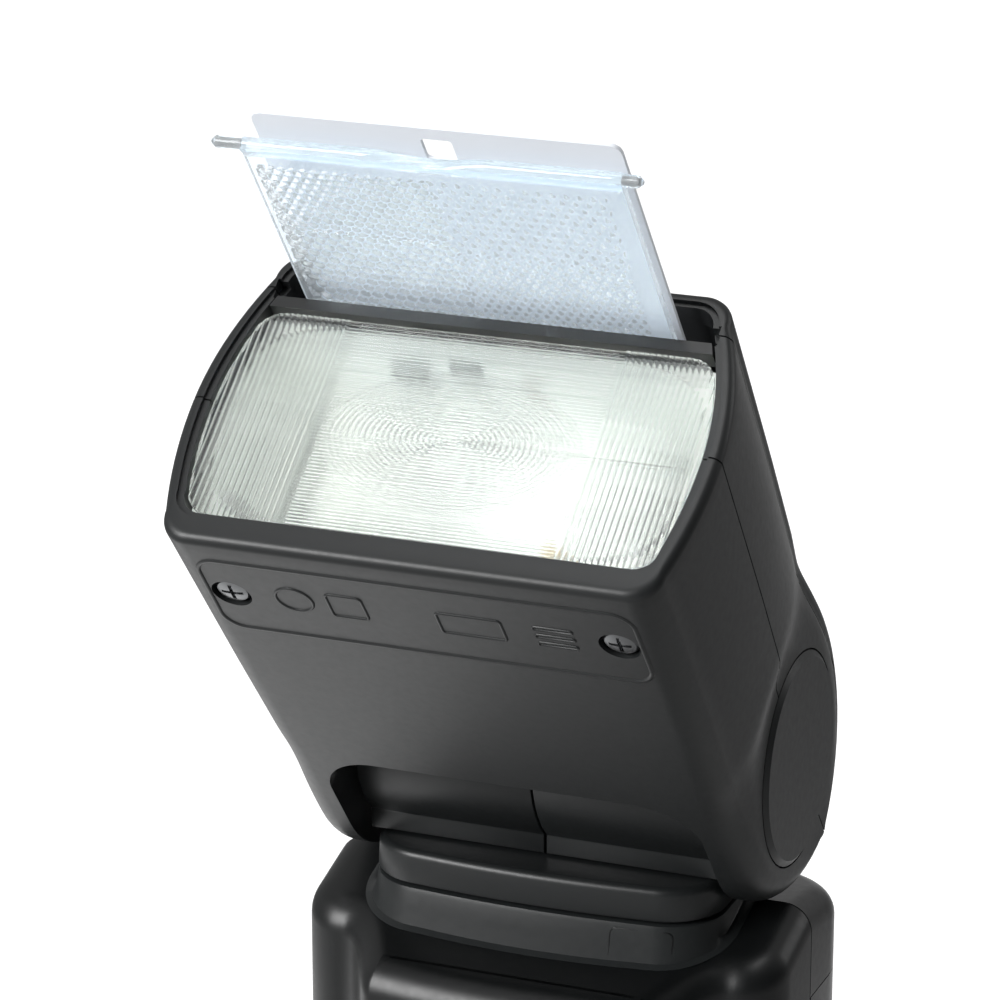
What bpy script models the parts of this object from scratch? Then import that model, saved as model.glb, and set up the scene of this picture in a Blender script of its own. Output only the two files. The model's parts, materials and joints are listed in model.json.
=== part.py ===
"""Speedlight flash: head on a tilting drum, turret on a swivel, body with a shoe foot.

The flash looks along -Y, +Z is up and the swivel is the Z axis. The origin is on the underside
of the shoe foot. Sizes below are in millimetres and MM turns them into Blender's metres.
The head is modelled upright, with its optical axis along local +Z and its top side at local +Y,
under an empty that stands on the tilt axis and leans forward by the rest tilt.
"""
import math

import bmesh
import bpy
from mathutils import Matrix, Vector

MM = 0.001
GAP = 0.35                      # clearance between neighbouring pieces
WALL = 1.8                      # moulded wall of the shells
NAME = "speedlight_flash"

# --- driving dimensions ---
PIVOT_Z = 114.5                 # tilt axis above the foot
HEAD_TILT = 51.7                # rest elevation of the optical axis above the horizon, degrees
HEAD_FRONT = 75.5               # rim plane of the head, from the tilt axis
HEAD_TOP, HEAD_BOTTOM = 26.5, -22.5
HEAD_REAR_RADIUS = 21.4         # rounded rear end of the head
HEAD_REAR_TOP = 24.6            # top of the head above the tilt axis
HEAD_WIDTHS = ((-30, 34.9), (0, 35.1), (24, 36.9), (43, 37.5), (HEAD_FRONT, 38.2))
BARREL_TOP, BARREL_BOTTOM = 4.0, 3.0    # how far the sides pull in at 20 mm above and below
LOWER_SEAM, UPPER_SEAM = 0.35, 19.75    # planes where the three head shells meet
RIM_INSET = 2.7                 # rim thickness around the front opening
OPENING_BOTTOM, OPENING_TOP = -17.8, 24.2
LENS_TOP = 16.4
CAVITY_BACK, CAVITY_FRONT = 20.6, 71.2

SLOT_HALF = 28.5                # gap between the two ears, which takes the drum
SLOT_REACH = 18.8               # how far in front of the axis the gap reaches
DRUM_RADIUS = 17.0
DRUM_HALF = 27.6
DRUM_UNDERCUT = 50               # degrees past the middle where the drum turns down to the plate
AXLE_RADIUS = 4.0
EAR_FACE = 34.8                 # flat of the ear under the pivot cover
EAR_FLAT, EAR_BLEND = 16.6, 27.0        # radius of that flat, and where the swelling around it ends
COVER_RADIUS, COVER_FACE = 15.8, 35.4

PLATE_TOP, PLATE_BOTTOM = PIVOT_Z - 16.4, PIVOT_Z - 21.6
OVAL_HALF, OVAL_DEPTH, OVAL_CORNER = 27.0, 17.8, 9.0
COLLAR_TOP = PIVOT_Z - 22.0

BODY_BOTTOM = 14.5
BODY_TOP = 91.7                 # height of the top at the seam between the two body shells
SLOPE_FRONT, SLOPE_REAR = 0.29, -0.17
BODY_HALF, BODY_REAR, BODY_FRONT = 37.5, 22.5, -29.6
REAR_CORNER = 13.5              # corners of the back, in plan
BODY_EDGE = 4.2                 # rounding of the top edge
HUB_HOLE = 16.4

PANEL_X, PANEL_V, PANEL_TRAVEL = -0.9, 107.5, 32.5     # wide panel's bar, and how far it pushes in
PANEL_HALF, BAR_LEFT, BAR_RIGHT, BAR_RADIUS = 26.8, -31.1, 29.7, 1.15   # from the panel's middle
CARD_V, CARD_TRAVEL = 112.2, 36.0
REFLECTOR_V = 36.0              # back of the reflector at rest
REFLECTOR_DEPTH = 22.0
ROD_X, ROD_W = 29.5, -13.0
SCREW_X, SCREW_W = 18.0, -15.0

CELL_RADIUS, CELL_LENGTH, CELL_PITCH = 7.25, 50.5, 14.8
CELL_Y, CELL_Z = 7.7, 25.1
DOOR_Y, DOOR_Z = (0.4, 16.2), (18.6, 77.0)
DOOR_WALL = 2.0
DOOR_STEP_Y, DOOR_STEP = 9.8, 2.0        # the door's lower edge rises behind its hinge
DOOR_SWEEP = 2.75                        # inside this radius the door's edge would strike the sill

CASE_SCREW_XS, CASE_SCREW_Y = (-27, 27), -8.0
FOOT_Y = -5.0                   # middle of the shoe foot
LOCK_PIN_Y = FOOT_Y - 7.0
FOOT_WIDTH, FOOT_LENGTH, FOOT_THICK = 18.6, 18.0, 2.0
NECK_RADIUS = 6.1

DIAL_Z, BUTTON_Z, DISPLAY_Z = 37.0, 55.5, (63.0, 83.0)
BUTTON_XS = (-19.5, -6.5, 6.5, 19.5)
PILOT_X, SWITCH_X = 21.5, -22.6
JACK_Y, JACK_Z = 1.1, 61.0

# colour, roughness, metallic, transmission
FINISHES = {
    "shell": ((0.016, 0.018, 0.019), 0.42, 0.0, 0.0),
    "collar": ((0.030, 0.033, 0.034), 0.38, 0.0, 0.0),
    "inner": ((0.040, 0.040, 0.042), 0.55, 0.0, 0.0),
    "steel": ((0.55, 0.55, 0.56), 0.30, 1.0, 0.0),
    "mirror": ((0.86, 0.87, 0.85), 0.10, 1.0, 0.0),
    "brass": ((0.75, 0.55, 0.25), 0.30, 1.0, 0.0),
    "clear": ((0.95, 0.98, 0.97), 0.05, 0.0, 1.0),
    "tinted": ((0.72, 0.84, 0.92), 0.08, 0.0, 0.9),
    "card": ((0.88, 0.91, 0.95), 0.45, 0.0, 0.0),
    "red": ((0.10, 0.004, 0.006), 0.10, 0.0, 0.6),
    "board": ((0.02, 0.12, 0.06), 0.50, 0.0, 0.0),
    "sleeve": ((0.05, 0.06, 0.12), 0.35, 0.0, 0.0),
    "rubber": ((0.020, 0.020, 0.020), 0.75, 0.0, 0.0),
    "display": ((0.25, 0.30, 0.26), 0.20, 0.0, 0.0),
}

AXES = {                        # turns a shape's own Z to the named axis (to -Y for "Y")
    "X": Matrix(((0, 0, 1, 0), (1, 0, 0, 0), (0, 1, 0, 0), (0, 0, 0, 1))),
    "Y": Matrix(((1, 0, 0, 0), (0, 0, -1, 0), (0, 1, 0, 0), (0, 0, 0, 1))),
    "Z": Matrix.Identity(4),
}


# --- scene and materials ---

def clear_scene():
    for thing in list(bpy.data.objects):
        bpy.data.objects.remove(thing)


def new_collection(name):
    found = bpy.data.collections.get(name) or bpy.data.collections.new(name)
    if found.name not in bpy.context.scene.collection.children:
        bpy.context.scene.collection.children.link(found)
    return found


def make_material(name, finish):
    colour, roughness, metallic, transmission = FINISHES[finish]
    made = bpy.data.materials.new(name)
    made.use_nodes = True
    shader = made.node_tree.nodes["Principled BSDF"]
    shader.inputs["Base Color"].default_value = (*colour, 1)
    shader.inputs["Roughness"].default_value = roughness
    shader.inputs["Metallic"].default_value = metallic
    shader.inputs["Transmission Weight"].default_value = transmission
    return made


def add_mesh(name, shape, finish=None, parent=None, at=(0, 0, 0)):
    """Links a bmesh as an object: a part if it has a finish, or else a hidden cutter."""
    bmesh.ops.recalc_face_normals(shape, faces=shape.faces)
    mesh = bpy.data.meshes.new(name)
    shape.to_mesh(mesh)
    shape.free()
    mesh.shade_smooth()
    mesh.set_sharp_from_angle(angle=math.radians(35))
    made = bpy.data.objects.new(name, mesh)
    made.location = Vector(at) * MM
    made.parent = parent
    if finish:
        PARTS.objects.link(made)
        mesh.materials.append(make_material(name, finish))
    else:
        CUTTERS.objects.link(made)
        made.hide_render = True
        made.display_type = "WIRE"
    return made


def add_empty(name, at, tilt=0.0, parent=None):
    made = bpy.data.objects.new(name, None)
    made.location = Vector(at) * MM
    made.rotation_euler = (math.radians(tilt), 0, 0)
    made.parent = parent
    PARTS.objects.link(made)
    return made


# --- shapes ---

def box(name, low, high, finish=None, parent=None, bevel=0.0, at=(0, 0, 0)):
    """A block from its lowest to its highest corner, measured from the object's origin."""
    low, high = Vector(low) * MM, Vector(high) * MM
    shape = bmesh.new()
    bmesh.ops.create_cube(shape, size=1)
    bmesh.ops.scale(shape, vec=high - low, verts=shape.verts)
    bmesh.ops.translate(shape, vec=(low + high) / 2, verts=shape.verts)
    made = add_mesh(name, shape, finish, parent, at)
    if bevel:
        round_edges(made, bevel)
    return made


def rod(name, radius, start, end, axis="Z", finish=None, parent=None, at=(0, 0, 0), sides=32):
    """A round bar along an axis; start and end are measured along it from the origin."""
    shape = bmesh.new()
    bmesh.ops.create_cone(
        shape, cap_ends=True, segments=sides, radius1=radius * MM, radius2=radius * MM,
        depth=(end - start) * MM)
    lay_along(shape, start, end, axis)
    return add_mesh(name, shape, finish, parent, at)


def lay_along(shape, start, end, axis):
    """Turns a shape centred on its own Z to an axis and centres it between start and end."""
    middle = (start + end) / 2 * MM
    bmesh.ops.translate(shape, vec=(0, 0, -middle if axis == "Y" else middle), verts=shape.verts)
    bmesh.ops.transform(shape, matrix=AXES[axis], verts=shape.verts)


def extrusion(name, outline, start, end, axis="Z", finish=None, parent=None, at=(0, 0, 0), holes=()):
    """A flat outline given thickness. Along X it is drawn in Y and Z, along Y in X and Z."""
    curve = bpy.data.curves.new(name, "CURVE")
    curve.dimensions = "2D"
    curve.fill_mode = "BOTH"
    curve.extrude = (end - start) / 2 * MM
    for loop in (outline, *holes):
        spline = curve.splines.new("POLY")
        spline.points.add(len(loop) - 1)
        spline.use_cyclic_u = True
        for point, (across, along) in zip(spline.points, loop):
            point.co = (across * MM, along * MM, 0, 1)
    flat = bpy.data.objects.new(name, curve)
    CUTTERS.objects.link(flat)
    mesh = bpy.data.meshes.new_from_object(flat.evaluated_get(bpy.context.evaluated_depsgraph_get()))
    shape = bmesh.new()
    shape.from_mesh(mesh)
    bpy.data.objects.remove(flat)
    bpy.data.meshes.remove(mesh)
    bmesh.ops.remove_doubles(shape, verts=shape.verts, dist=1e-6)
    lay_along(shape, start, end, axis)
    return add_mesh(name, shape, finish, parent, at)


def loft(name, rings, finish=None, parent=None, fold=None):
    """Joins rings of equal length; fold gives two ring indices across which the caps bend."""
    shape = bmesh.new()
    loops = [[shape.verts.new(Vector(p) * MM) for p in ring] for ring in rings]
    count = len(rings[0])
    for lower, upper in zip(loops, loops[1:]):
        for i in range(count):
            j = (i + 1) % count
            shape.faces.new((lower[i], lower[j], upper[j], upper[i]))
    for loop in (loops[0], loops[-1]):
        if fold:
            first, second = fold
            shape.faces.new(loop[first:second + 1])
            shape.faces.new(loop[second:] + loop[:first + 1])
        else:
            shape.faces.new(loop)
    return add_mesh(name, shape, finish, parent)


def turned(name, profile, finish=None, parent=None, at=(0, 0, 0), axis="Z", steps=32):
    """A profile of radius and height pairs, run down its outer side, turned about its axis."""
    shape = bmesh.new()
    corners = [shape.verts.new((radius * MM, 0, height * MM)) for radius, height in profile]
    closed = all(radius > 0 for radius, _ in profile)
    for first, second in zip(corners, corners[1:]):
        shape.edges.new((first, second))
    if closed:
        shape.edges.new((corners[-1], corners[0]))
    made = add_mesh(name, shape, finish, parent, at)
    made.rotation_euler = AXES[axis].to_euler()
    spin = made.modifiers.new("turn", "SCREW")
    spin.steps = spin.render_steps = steps
    spin.use_merge_vertices = True
    spin.merge_threshold = 1e-6
    return made


def arc(centre, radius, start, end, count):
    """Points on an arc between two angles in degrees, both ends included."""
    angles = [math.radians(start + (end - start) * i / (count - 1)) for i in range(count)]
    return [(centre[0] + radius * math.cos(a), centre[1] + radius * math.sin(a)) for a in angles]


def rounded(half_x, low, high, radius, count=4):
    """A rectangle centred in its first direction, with round corners."""
    right, left = half_x - radius, radius - half_x
    return (arc((right, low + radius), radius, -90, 0, count)
            + arc((right, high - radius), radius, 0, 90, count)
            + arc((left, high - radius), radius, 90, 180, count)
            + arc((left, low + radius), radius, 180, 270, count))


# --- modifiers ---

def round_edges(part, width, segments=2):
    bevel = part.modifiers.new("round", "BEVEL")
    bevel.width = width * MM
    bevel.segments = segments
    bevel.limit_method = "ANGLE"
    bevel.angle_limit = math.radians(40)


def combine(part, other, operation="DIFFERENCE"):
    change = part.modifiers.new(operation.lower(), "BOOLEAN")
    change.operation = operation
    change.solver = "EXACT"
    change.object = other


def cut(part, *cutters):
    for cutter in cutters:
        combine(part, cutter)


# --- head ---

def head_half_width(v):
    for (v0, x0), (v1, x1) in zip(HEAD_WIDTHS, HEAD_WIDTHS[1:]):
        if v <= v1:
            return x0 + (x1 - x0) * (v - v0) / (v1 - v0)
    return HEAD_WIDTHS[-1][1]


def barrel(half, w):
    """Half width of the barrel-sided head at a height w."""
    pull = BARREL_TOP if w > 0 else BARREL_BOTTOM
    return half - pull * (w / 20) ** 2


def swelling(v, w):
    """How far the side has turned into the flat under the pivot cover: 0 is none, 1 is all."""
    share = (EAR_BLEND - math.hypot(v, w)) / (EAR_BLEND - EAR_FLAT)
    share = max(0.0, min(1.0, share))
    return share * share * (3 - 2 * share)


def head_ring(half, low, high, corner, inset=0.0, v=HEAD_FRONT):
    """One cross-section at v: flat bottom and top, bowed sides and round corners."""
    low, high = low + inset, high - inset
    corner = min(corner, 0.45 * (high - low))

    def side(w):
        bowed = barrel(half, w)
        return bowed + (EAR_FACE - bowed) * swelling(v, w) - inset

    below, above = low + corner, high - corner
    right = [(side(below) - corner) * f for f in (0, 0.5)]
    points = [(x, low) for x in right]
    points += arc((side(below) - corner, below), corner, -90, 0, 5)
    points += [(side(w), w) for w in (below + (above - below) * f for f in (0.15, 0.32, 0.5, 0.68, 0.85))]
    points += arc((side(above) - corner, above), corner, 0, 90, 5)
    points += [((side(above) - corner) * 0.5, high), (0, high)]
    return points + [(-x, w) for x, w in reversed(points[1:-1])]


def head_heights(v):
    """Lowest and highest w of the head at a station v along the optical axis."""
    if v >= 0:
        share = v / HEAD_FRONT
        return (-HEAD_REAR_RADIUS + (HEAD_BOTTOM + HEAD_REAR_RADIUS) * share,
                HEAD_REAR_TOP + (HEAD_TOP - HEAD_REAR_TOP) * share)
    reach = math.sqrt(1 - (v / HEAD_REAR_RADIUS) ** 2)
    return -HEAD_REAR_RADIUS * reach, HEAD_REAR_TOP * reach


def head_loft(name, stations, corner, inset=0.0):
    rings = []
    for v, extra in stations:
        low, high = head_heights(v)
        ring = head_ring(head_half_width(v), low, high, corner, inset + extra, v)
        rings.append([(x, w, v) for x, w in ring])
    return loft(name, rings)


def opening_outline(inset, low, high, corner):
    return head_ring(HEAD_WIDTHS[-1][1] - inset, low, high, corner)


def slot_outline():
    """Side view of the gap between the ears: open below and behind, round over the drum."""
    over = arc((0, 0), SLOT_REACH, 90, 0, 9)
    return ([(-19.0, -60), (-19.0, SLOT_REACH)] + over + [(UPPER_SEAM + 0.1, -1), (UPPER_SEAM + 0.1, -60)])


def head_cutters():
    """Every hollow of the head, shared by its three shells."""
    rear = [HEAD_REAR_RADIUS * math.sin(math.radians(a)) for a in (-84, -66, -48, -30, -14)]
    outer = [(v, 0) for v in (*rear, 0, 6, 12, 18, 24, 43, HEAD_FRONT - 0.9)] + [(HEAD_FRONT, 0.8)]
    form = head_loft("head_form", outer, 4.4)
    cavity = head_loft("head_cavity", [(v, 0) for v in (CAVITY_BACK, 43, CAVITY_FRONT)], 3.4, WALL)
    mouth = extrusion(
        "head_mouth", opening_outline(RIM_INSET, OPENING_BOTTOM, OPENING_TOP, 3.2),
        CAVITY_FRONT - 1, HEAD_FRONT + 2)
    slot = extrusion("ear_gap", slot_outline(), -SLOT_HALF, SLOT_HALF, "X")
    arch = extrusion("drum_arch", rounded(SLOT_HALF, -60, SLOT_REACH, 9.0, 6), -60, -18, "Y")
    card_room = box("card_room", (-28.6, 21.1, 12), (28.6, 23.0, CAVITY_BACK + 1))
    bar_seat = box("bar_seat", (-32.4, 18.35, 73.4), (32.4, 21.25, HEAD_FRONT + 2))
    bore = rod("axle_bore", AXLE_RADIUS + 0.4, -50, 50, "X")
    pockets = [rod(f"cover_pocket_{side}", COVER_RADIUS + 0.4, *span, "X", sides=48)
               for side, span in (("left", (-60, 0.9 - EAR_FACE)), ("right", (EAR_FACE - 0.9, 60)))]
    screws = []
    for side in (-1, 1):
        place = (side * 28.0, 0, 62.7)
        screws.append(rod(f"screw_seat_{side}", 2.95, -30, -20.85, "Y", at=place, sides=24))
        screws.append(rod(f"screw_hole_{side}", 1.6, -22, -15, "Y", at=place, sides=20))
    return form, pockets + [cavity, mouth, slot, arch, card_room, bar_seat, bore] + screws


def build_head_shells(parent):
    form, hollows = head_cutters()
    for cutter in (form, *hollows):
        cutter.parent = parent
    far = 90
    shells = {
        "head_lower_shell": ((-far, -far, -far), (far, LOWER_SEAM - 0.15, far)),
        "head_middle_band": ((-far, LOWER_SEAM + 0.15, -far), (far, UPPER_SEAM - 0.15, far)),
        "head_top_shell": ((-far, UPPER_SEAM + 0.15, -far), (far, far, far)),
    }
    for name, (low, high) in shells.items():
        shape = bmesh.new()
        shape.from_mesh(form.data)
        shell = add_mesh(name, shape, "shell", parent)
        cut(shell, *hollows)
        combine(shell, box(f"{name}_span", low, high, parent=parent), "INTERSECT")


def build_head_front(parent):
    lens = opening_outline(RIM_INSET + 0.35, OPENING_BOTTOM + 0.35, LENS_TOP, 2.9)
    extrusion("front_lens", lens, 72.4, 74.7, "Z", "clear", parent)
    low, top, rail = LENS_TOP + 0.4, 18.6, 20.2
    right, left = PANEL_X + PANEL_HALF + GAP, PANEL_X - PANEL_HALF - GAP
    tray = [(-31.0, low), (31.0, low), (31.0, top), (29.0, top), (29.0, rail), (right, rail), (right, top),
            (left, top), (left, rail), (-29.0, rail), (-29.0, top), (-31.0, top)]
    extrusion("panel_tray", tray, 36, 72, "Z", "inner", parent)
    wide = [barrel(HEAD_WIDTHS[-1][1] - RIM_INSET - GAP, w) for w in (low, top)]
    bar = [(-wide[0], low), (wide[0], low), (wide[1], top), (-wide[1], top)]
    extrusion("front_bar", bar, 72.35, 75.2, "Z", "shell", parent)


def build_cross_screw(name, parent, at, turn, length=6.0):
    """A small pan-head screw whose head faces local +Z, cut by a cross."""
    profile = [(0, 0.0), (1.3, -0.05), (2.2, -0.25), (2.6, -0.65), (2.6, -1.0), (1.2, -1.0), (1.2, -length),
               (0, -length)]
    screw = turned(name, profile, "steel", parent, at, steps=24)
    screw.rotation_euler = turn
    for axis, size in (("x", (1.6, 0.28)), ("y", (0.28, 1.6))):
        notch = box(f"{name}_notch_{axis}", (-size[0], -size[1], -0.6), (size[0], size[1], 0.5), at=at)
        notch.parent = parent
        notch.rotation_euler = turn
        cut(screw, notch)


def build_pivot_covers(parent):
    for side, name in ((-1, "pivot_cover_left"), (1, "pivot_cover_right")):
        thick = COVER_FACE - EAR_FACE + 0.9 - GAP
        profile = [(0, thick), (COVER_RADIUS - 0.9, thick), (COVER_RADIUS, thick - 0.6), (COVER_RADIUS, 0), (0, 0)]
        cover = turned(name, profile, "shell", parent, (side * (EAR_FACE - 0.9 + GAP), 0, 0), steps=48)
        cover.rotation_euler = (0, side * math.pi / 2, 0)


def build_zoom(head, carriage):
    """Reflector, tube and their carriage, on two rods and driven by a lead screw."""
    def section(depth, grow):
        share = depth / REFLECTOR_DEPTH
        high = 3.2 + 8.3 * math.sqrt(share) + grow
        wide = 17.0 + 6.0 * share + grow
        cut_corner = 1.6
        return [(wide, cut_corner - high), (wide, high - cut_corner), (wide - cut_corner, high),
                (cut_corner - wide, high), (-wide, high - cut_corner), (-wide, cut_corner - high),
                (cut_corner - wide, -high), (wide - cut_corner, -high)]

    depths = (0.0, 1.0, 3.0, 6.5, 11.5, 16.5, REFLECTOR_DEPTH)
    outer = [[(x, w, d) for x, w in section(d, 0.8)] for d in depths]
    inner = [[(x, w, d + 0.8) for x, w in section(d, 0.0)] for d in depths]
    reflector = loft("reflector", outer, "mirror", carriage)
    hollow = loft("reflector_hollow", inner)
    ends = rod("tube_holes", 2.6, -40, 40, "X", at=(0, 0, 4.6))
    for cutter in (hollow, ends):
        cutter.parent = carriage
    cut(reflector, hollow, ends)
    rod("flash_tube", 2.0, -24, 24, "X", "clear", carriage, (0, 0, 4.6), 20)

    plate_outline = [(-29, -17.0), (29, -17.0), (32.2, -12), (31.2, 11.8), (-31.2, 11.8), (-32.2, -12)]
    window = [(-20.9, -10.1), (20.9, -10.1), (20.9, 10.1), (-20.9, 10.1)]
    plate = extrusion("zoom_carriage", plate_outline, 8, 10, "Z", "inner", carriage, holes=[window])
    for side in (-1, 1):
        guide = rod(f"guide_boss_{side}", 2.7, 9, 15, at=(side * ROD_X, ROD_W, 0), sides=20)
        bore = rod(f"guide_bore_{side}", 1.65, -5, 30, at=(side * ROD_X, ROD_W, 0), sides=20)
        guide.parent = bore.parent = carriage
        combine(plate, guide, "UNION")
        cut(plate, bore)
        name = "guide_rod_left" if side < 0 else "guide_rod_right"
        rod(name, 1.25, CAVITY_BACK + GAP, CAVITY_FRONT - 0.4, "Z", "steel", head, (side * ROD_X, ROD_W, 0), 20)
    nut = rod("lead_nut_bore", 1.9, -5, 30, at=(SCREW_X, SCREW_W, 0), sides=20)
    nut.parent = carriage
    cut(plate, nut)
    rod("zoom_motor", 4.2, CAVITY_BACK + 0.4, 31.2, "Z", "steel", head, (SCREW_X, SCREW_W, 0), 24)
    box("head_board", (-25, 13.6, 24), (25, 15.2, 64), "board", head)


def build_lead_screw(parent):
    rod("zoom_lead_screw", 1.5, 31.6, 70.5, "Z", "brass", parent, sides=16)


def build_wide_panel(parent):
    low, high = 19.1, 20.5
    sheet = box("wide_panel", (-PANEL_HALF, low, -PANEL_TRAVEL - 2.0), (PANEL_HALF, high, 0), "tinted", parent)
    bar = rod("panel_bar", BAR_RADIUS, BAR_LEFT, BAR_RIGHT, "X", at=(0, (low + high) / 2, 0), sides=20)
    bar.parent = parent
    combine(sheet, bar, "UNION")


def build_bounce_card(parent):
    sheet = rounded(26.0, -58, 0, 1.6)
    hole = rounded(2.2, -6.4, -2.2, 0.5, 3)
    extrusion("bounce_card", sheet, 21.6, 22.2, "Y", "card", parent, holes=[hole])


# --- turret ---

def oval(half, depth, inset=0.0):
    """Plan of the turret: a rounded rectangle whose front and back are slightly bowed."""
    half, depth = half - inset, depth - inset
    corner = OVAL_CORNER - inset
    bow = 1.0
    quarter = [(half, 0)] + arc((half - corner, depth - bow - corner), corner, 0, 84, 6)
    quarter += [(x, depth - bow * (x / (half - corner)) ** 2) for x in (12.0, 6.0)]
    quarter += [(0, depth)]
    rear = quarter + [(-x, y) for x, y in reversed(quarter[:-1])]
    return rear + [(x, -y) for x, y in reversed(rear[1:-1])]


def build_turret(parent, pivot):
    levels = ((PLATE_BOTTOM, 0.5), (PLATE_BOTTOM + 0.5, 0.0), (PLATE_TOP - 1.0, 0.25), (PLATE_TOP, 1.2))
    rings = [[(x, y, z) for x, y in oval(OVAL_HALF, OVAL_DEPTH, inset)] for z, inset in levels]
    plate = loft("turret_plate", rings, "collar", parent)
    wire_way = rod("wire_way", 5.5, PLATE_BOTTOM - 5, PLATE_TOP + 5)
    cut(plate, wire_way)

    foot = PLATE_TOP + GAP - PIVOT_Z
    for side, name in ((-1, "drum_left_half"), (1, "drum_right_half")):
        outside = arc((0, 0), DRUM_RADIUS, 180 + DRUM_UNDERCUT, -DRUM_UNDERCUT, 33)
        waist = outside[-1][0]
        outside = [(-waist, foot)] + outside + [(waist, foot)]
        inside = arc((0, 0), DRUM_RADIUS - 2.0, 210, -30, 21)
        inside = [(2.2 - waist, foot + 2)] + inside + [(waist - 2.2, foot + 2)]
        span = sorted((side * 0.15, side * DRUM_HALF))
        drum = extrusion(name, outside, *span, "X", "shell", pivot)
        round_edges(drum, 0.7)
        hollow = extrusion(f"{name}_hollow", inside, *sorted((-side * 3.0, side * (DRUM_HALF - 2.0))), "X")
        bore = rod(f"{name}_bore", AXLE_RADIUS + 0.4, *sorted((side * 15, side * 40)), "X")
        hollow.parent = bore.parent = pivot
        cut(drum, hollow, bore, wire_way)
    rod("tilt_axle", AXLE_RADIUS, -33.9, 33.9, "X", "steel", pivot)
    disc = [(4.5, 1), (9.5, 1), (9.5, -1), (4.5, -1)]
    click = turned("tilt_click_disc", disc, "steel", pivot, (18, 0, 0), "X", 24)
    for turn in range(6):
        notch = rod(f"click_notch_{turn}", 0.9, -3, 3, "X", sides=12, at=(
            18, 9.5 * math.cos(turn * math.pi / 3), 9.5 * math.sin(turn * math.pi / 3)))
        notch.parent = pivot
        cut(click, notch)

    hub_top = PLATE_BOTTOM - GAP
    turned("swivel_hub", [(6, hub_top), (9.5, hub_top), (9.5, 78.9), (6, 78.9)], "inner", parent)
    turned("swivel_retainer", [(9.9, 81.6), (14, 81.6), (14, 79.6), (9.9, 79.6)], "steel", parent)


# --- body ---

def bezier(start, pull_start, pull_end, end, count):
    points = []
    for i in range(1, count):
        t = i / count
        weights = ((1 - t) ** 3, 3 * t * (1 - t) ** 2, 3 * t * t * (1 - t), t ** 3)
        parts = list(zip(weights, (start, pull_start, pull_end, end)))
        points.append((sum(k * p[0] for k, p in parts), sum(k * p[1] for k, p in parts)))
    return points


def body_outline():
    """Plan of the body from the right end of the seam, round the back and then the front."""
    centre = (BODY_HALF - REAR_CORNER, BODY_REAR - REAR_CORNER)
    rear = [(BODY_HALF, 0)] + arc(centre, REAR_CORNER, 0, 90, 10) + [(12, BODY_REAR), (0, BODY_REAR)]
    cheek, panel = (BODY_HALF - 7, -16.5), (20.5, BODY_FRONT + 1.1)
    front = [(BODY_HALF, 0)] + arc((BODY_HALF - 7, -9.5), 7, 0, -90, 6)
    front += bezier(cheek, (25.5, -16.8), (23.8, panel[1] + 0.3), panel, 7) + [panel]
    front += [(10, BODY_FRONT + 0.25), (0, BODY_FRONT)]
    back = rear + [(-x, y) for x, y in reversed(rear[:-1])]
    face = [(-x, y) for x, y in front[1:]] + list(reversed(front[1:-1]))
    return back + face, len(back) - 1


def shrink(outline, inset):
    """Moves each point of a closed outline inward along its normal."""
    moved = []
    count = len(outline)
    for i, (x, y) in enumerate(outline):
        before, after = outline[i - 1], outline[(i + 1) % count]
        along = Vector((after[0] - before[0], after[1] - before[1])).normalized()
        moved.append((x - along.y * inset, y + along.x * inset))
    return moved


def body_top(y):
    return BODY_TOP + (SLOPE_REAR if y > 0 else SLOPE_FRONT) * y


def body_form(name, wall, finish=None):
    """The whole body, or its hollow if a wall is given."""
    outline, left = body_outline()
    rings = []
    floor = ((0, 2.2), (0.7, 0.8), (2.4, 0.0)) if not wall else ((0, 0),)
    for lift, inset in floor:
        rings.append([(x, y, BODY_BOTTOM + wall + lift) for x, y in shrink(outline, inset + wall)])
    for angle in (0, 30, 60, 90):
        inset = BODY_EDGE * (1 - math.cos(math.radians(angle)))
        drop = BODY_EDGE * (1 - math.sin(math.radians(angle)))
        rings.append([(x, y, body_top(y) - drop - wall) for x, y in shrink(outline, inset + wall)])
    return loft(name, rings, finish, fold=(0, left))


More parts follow.
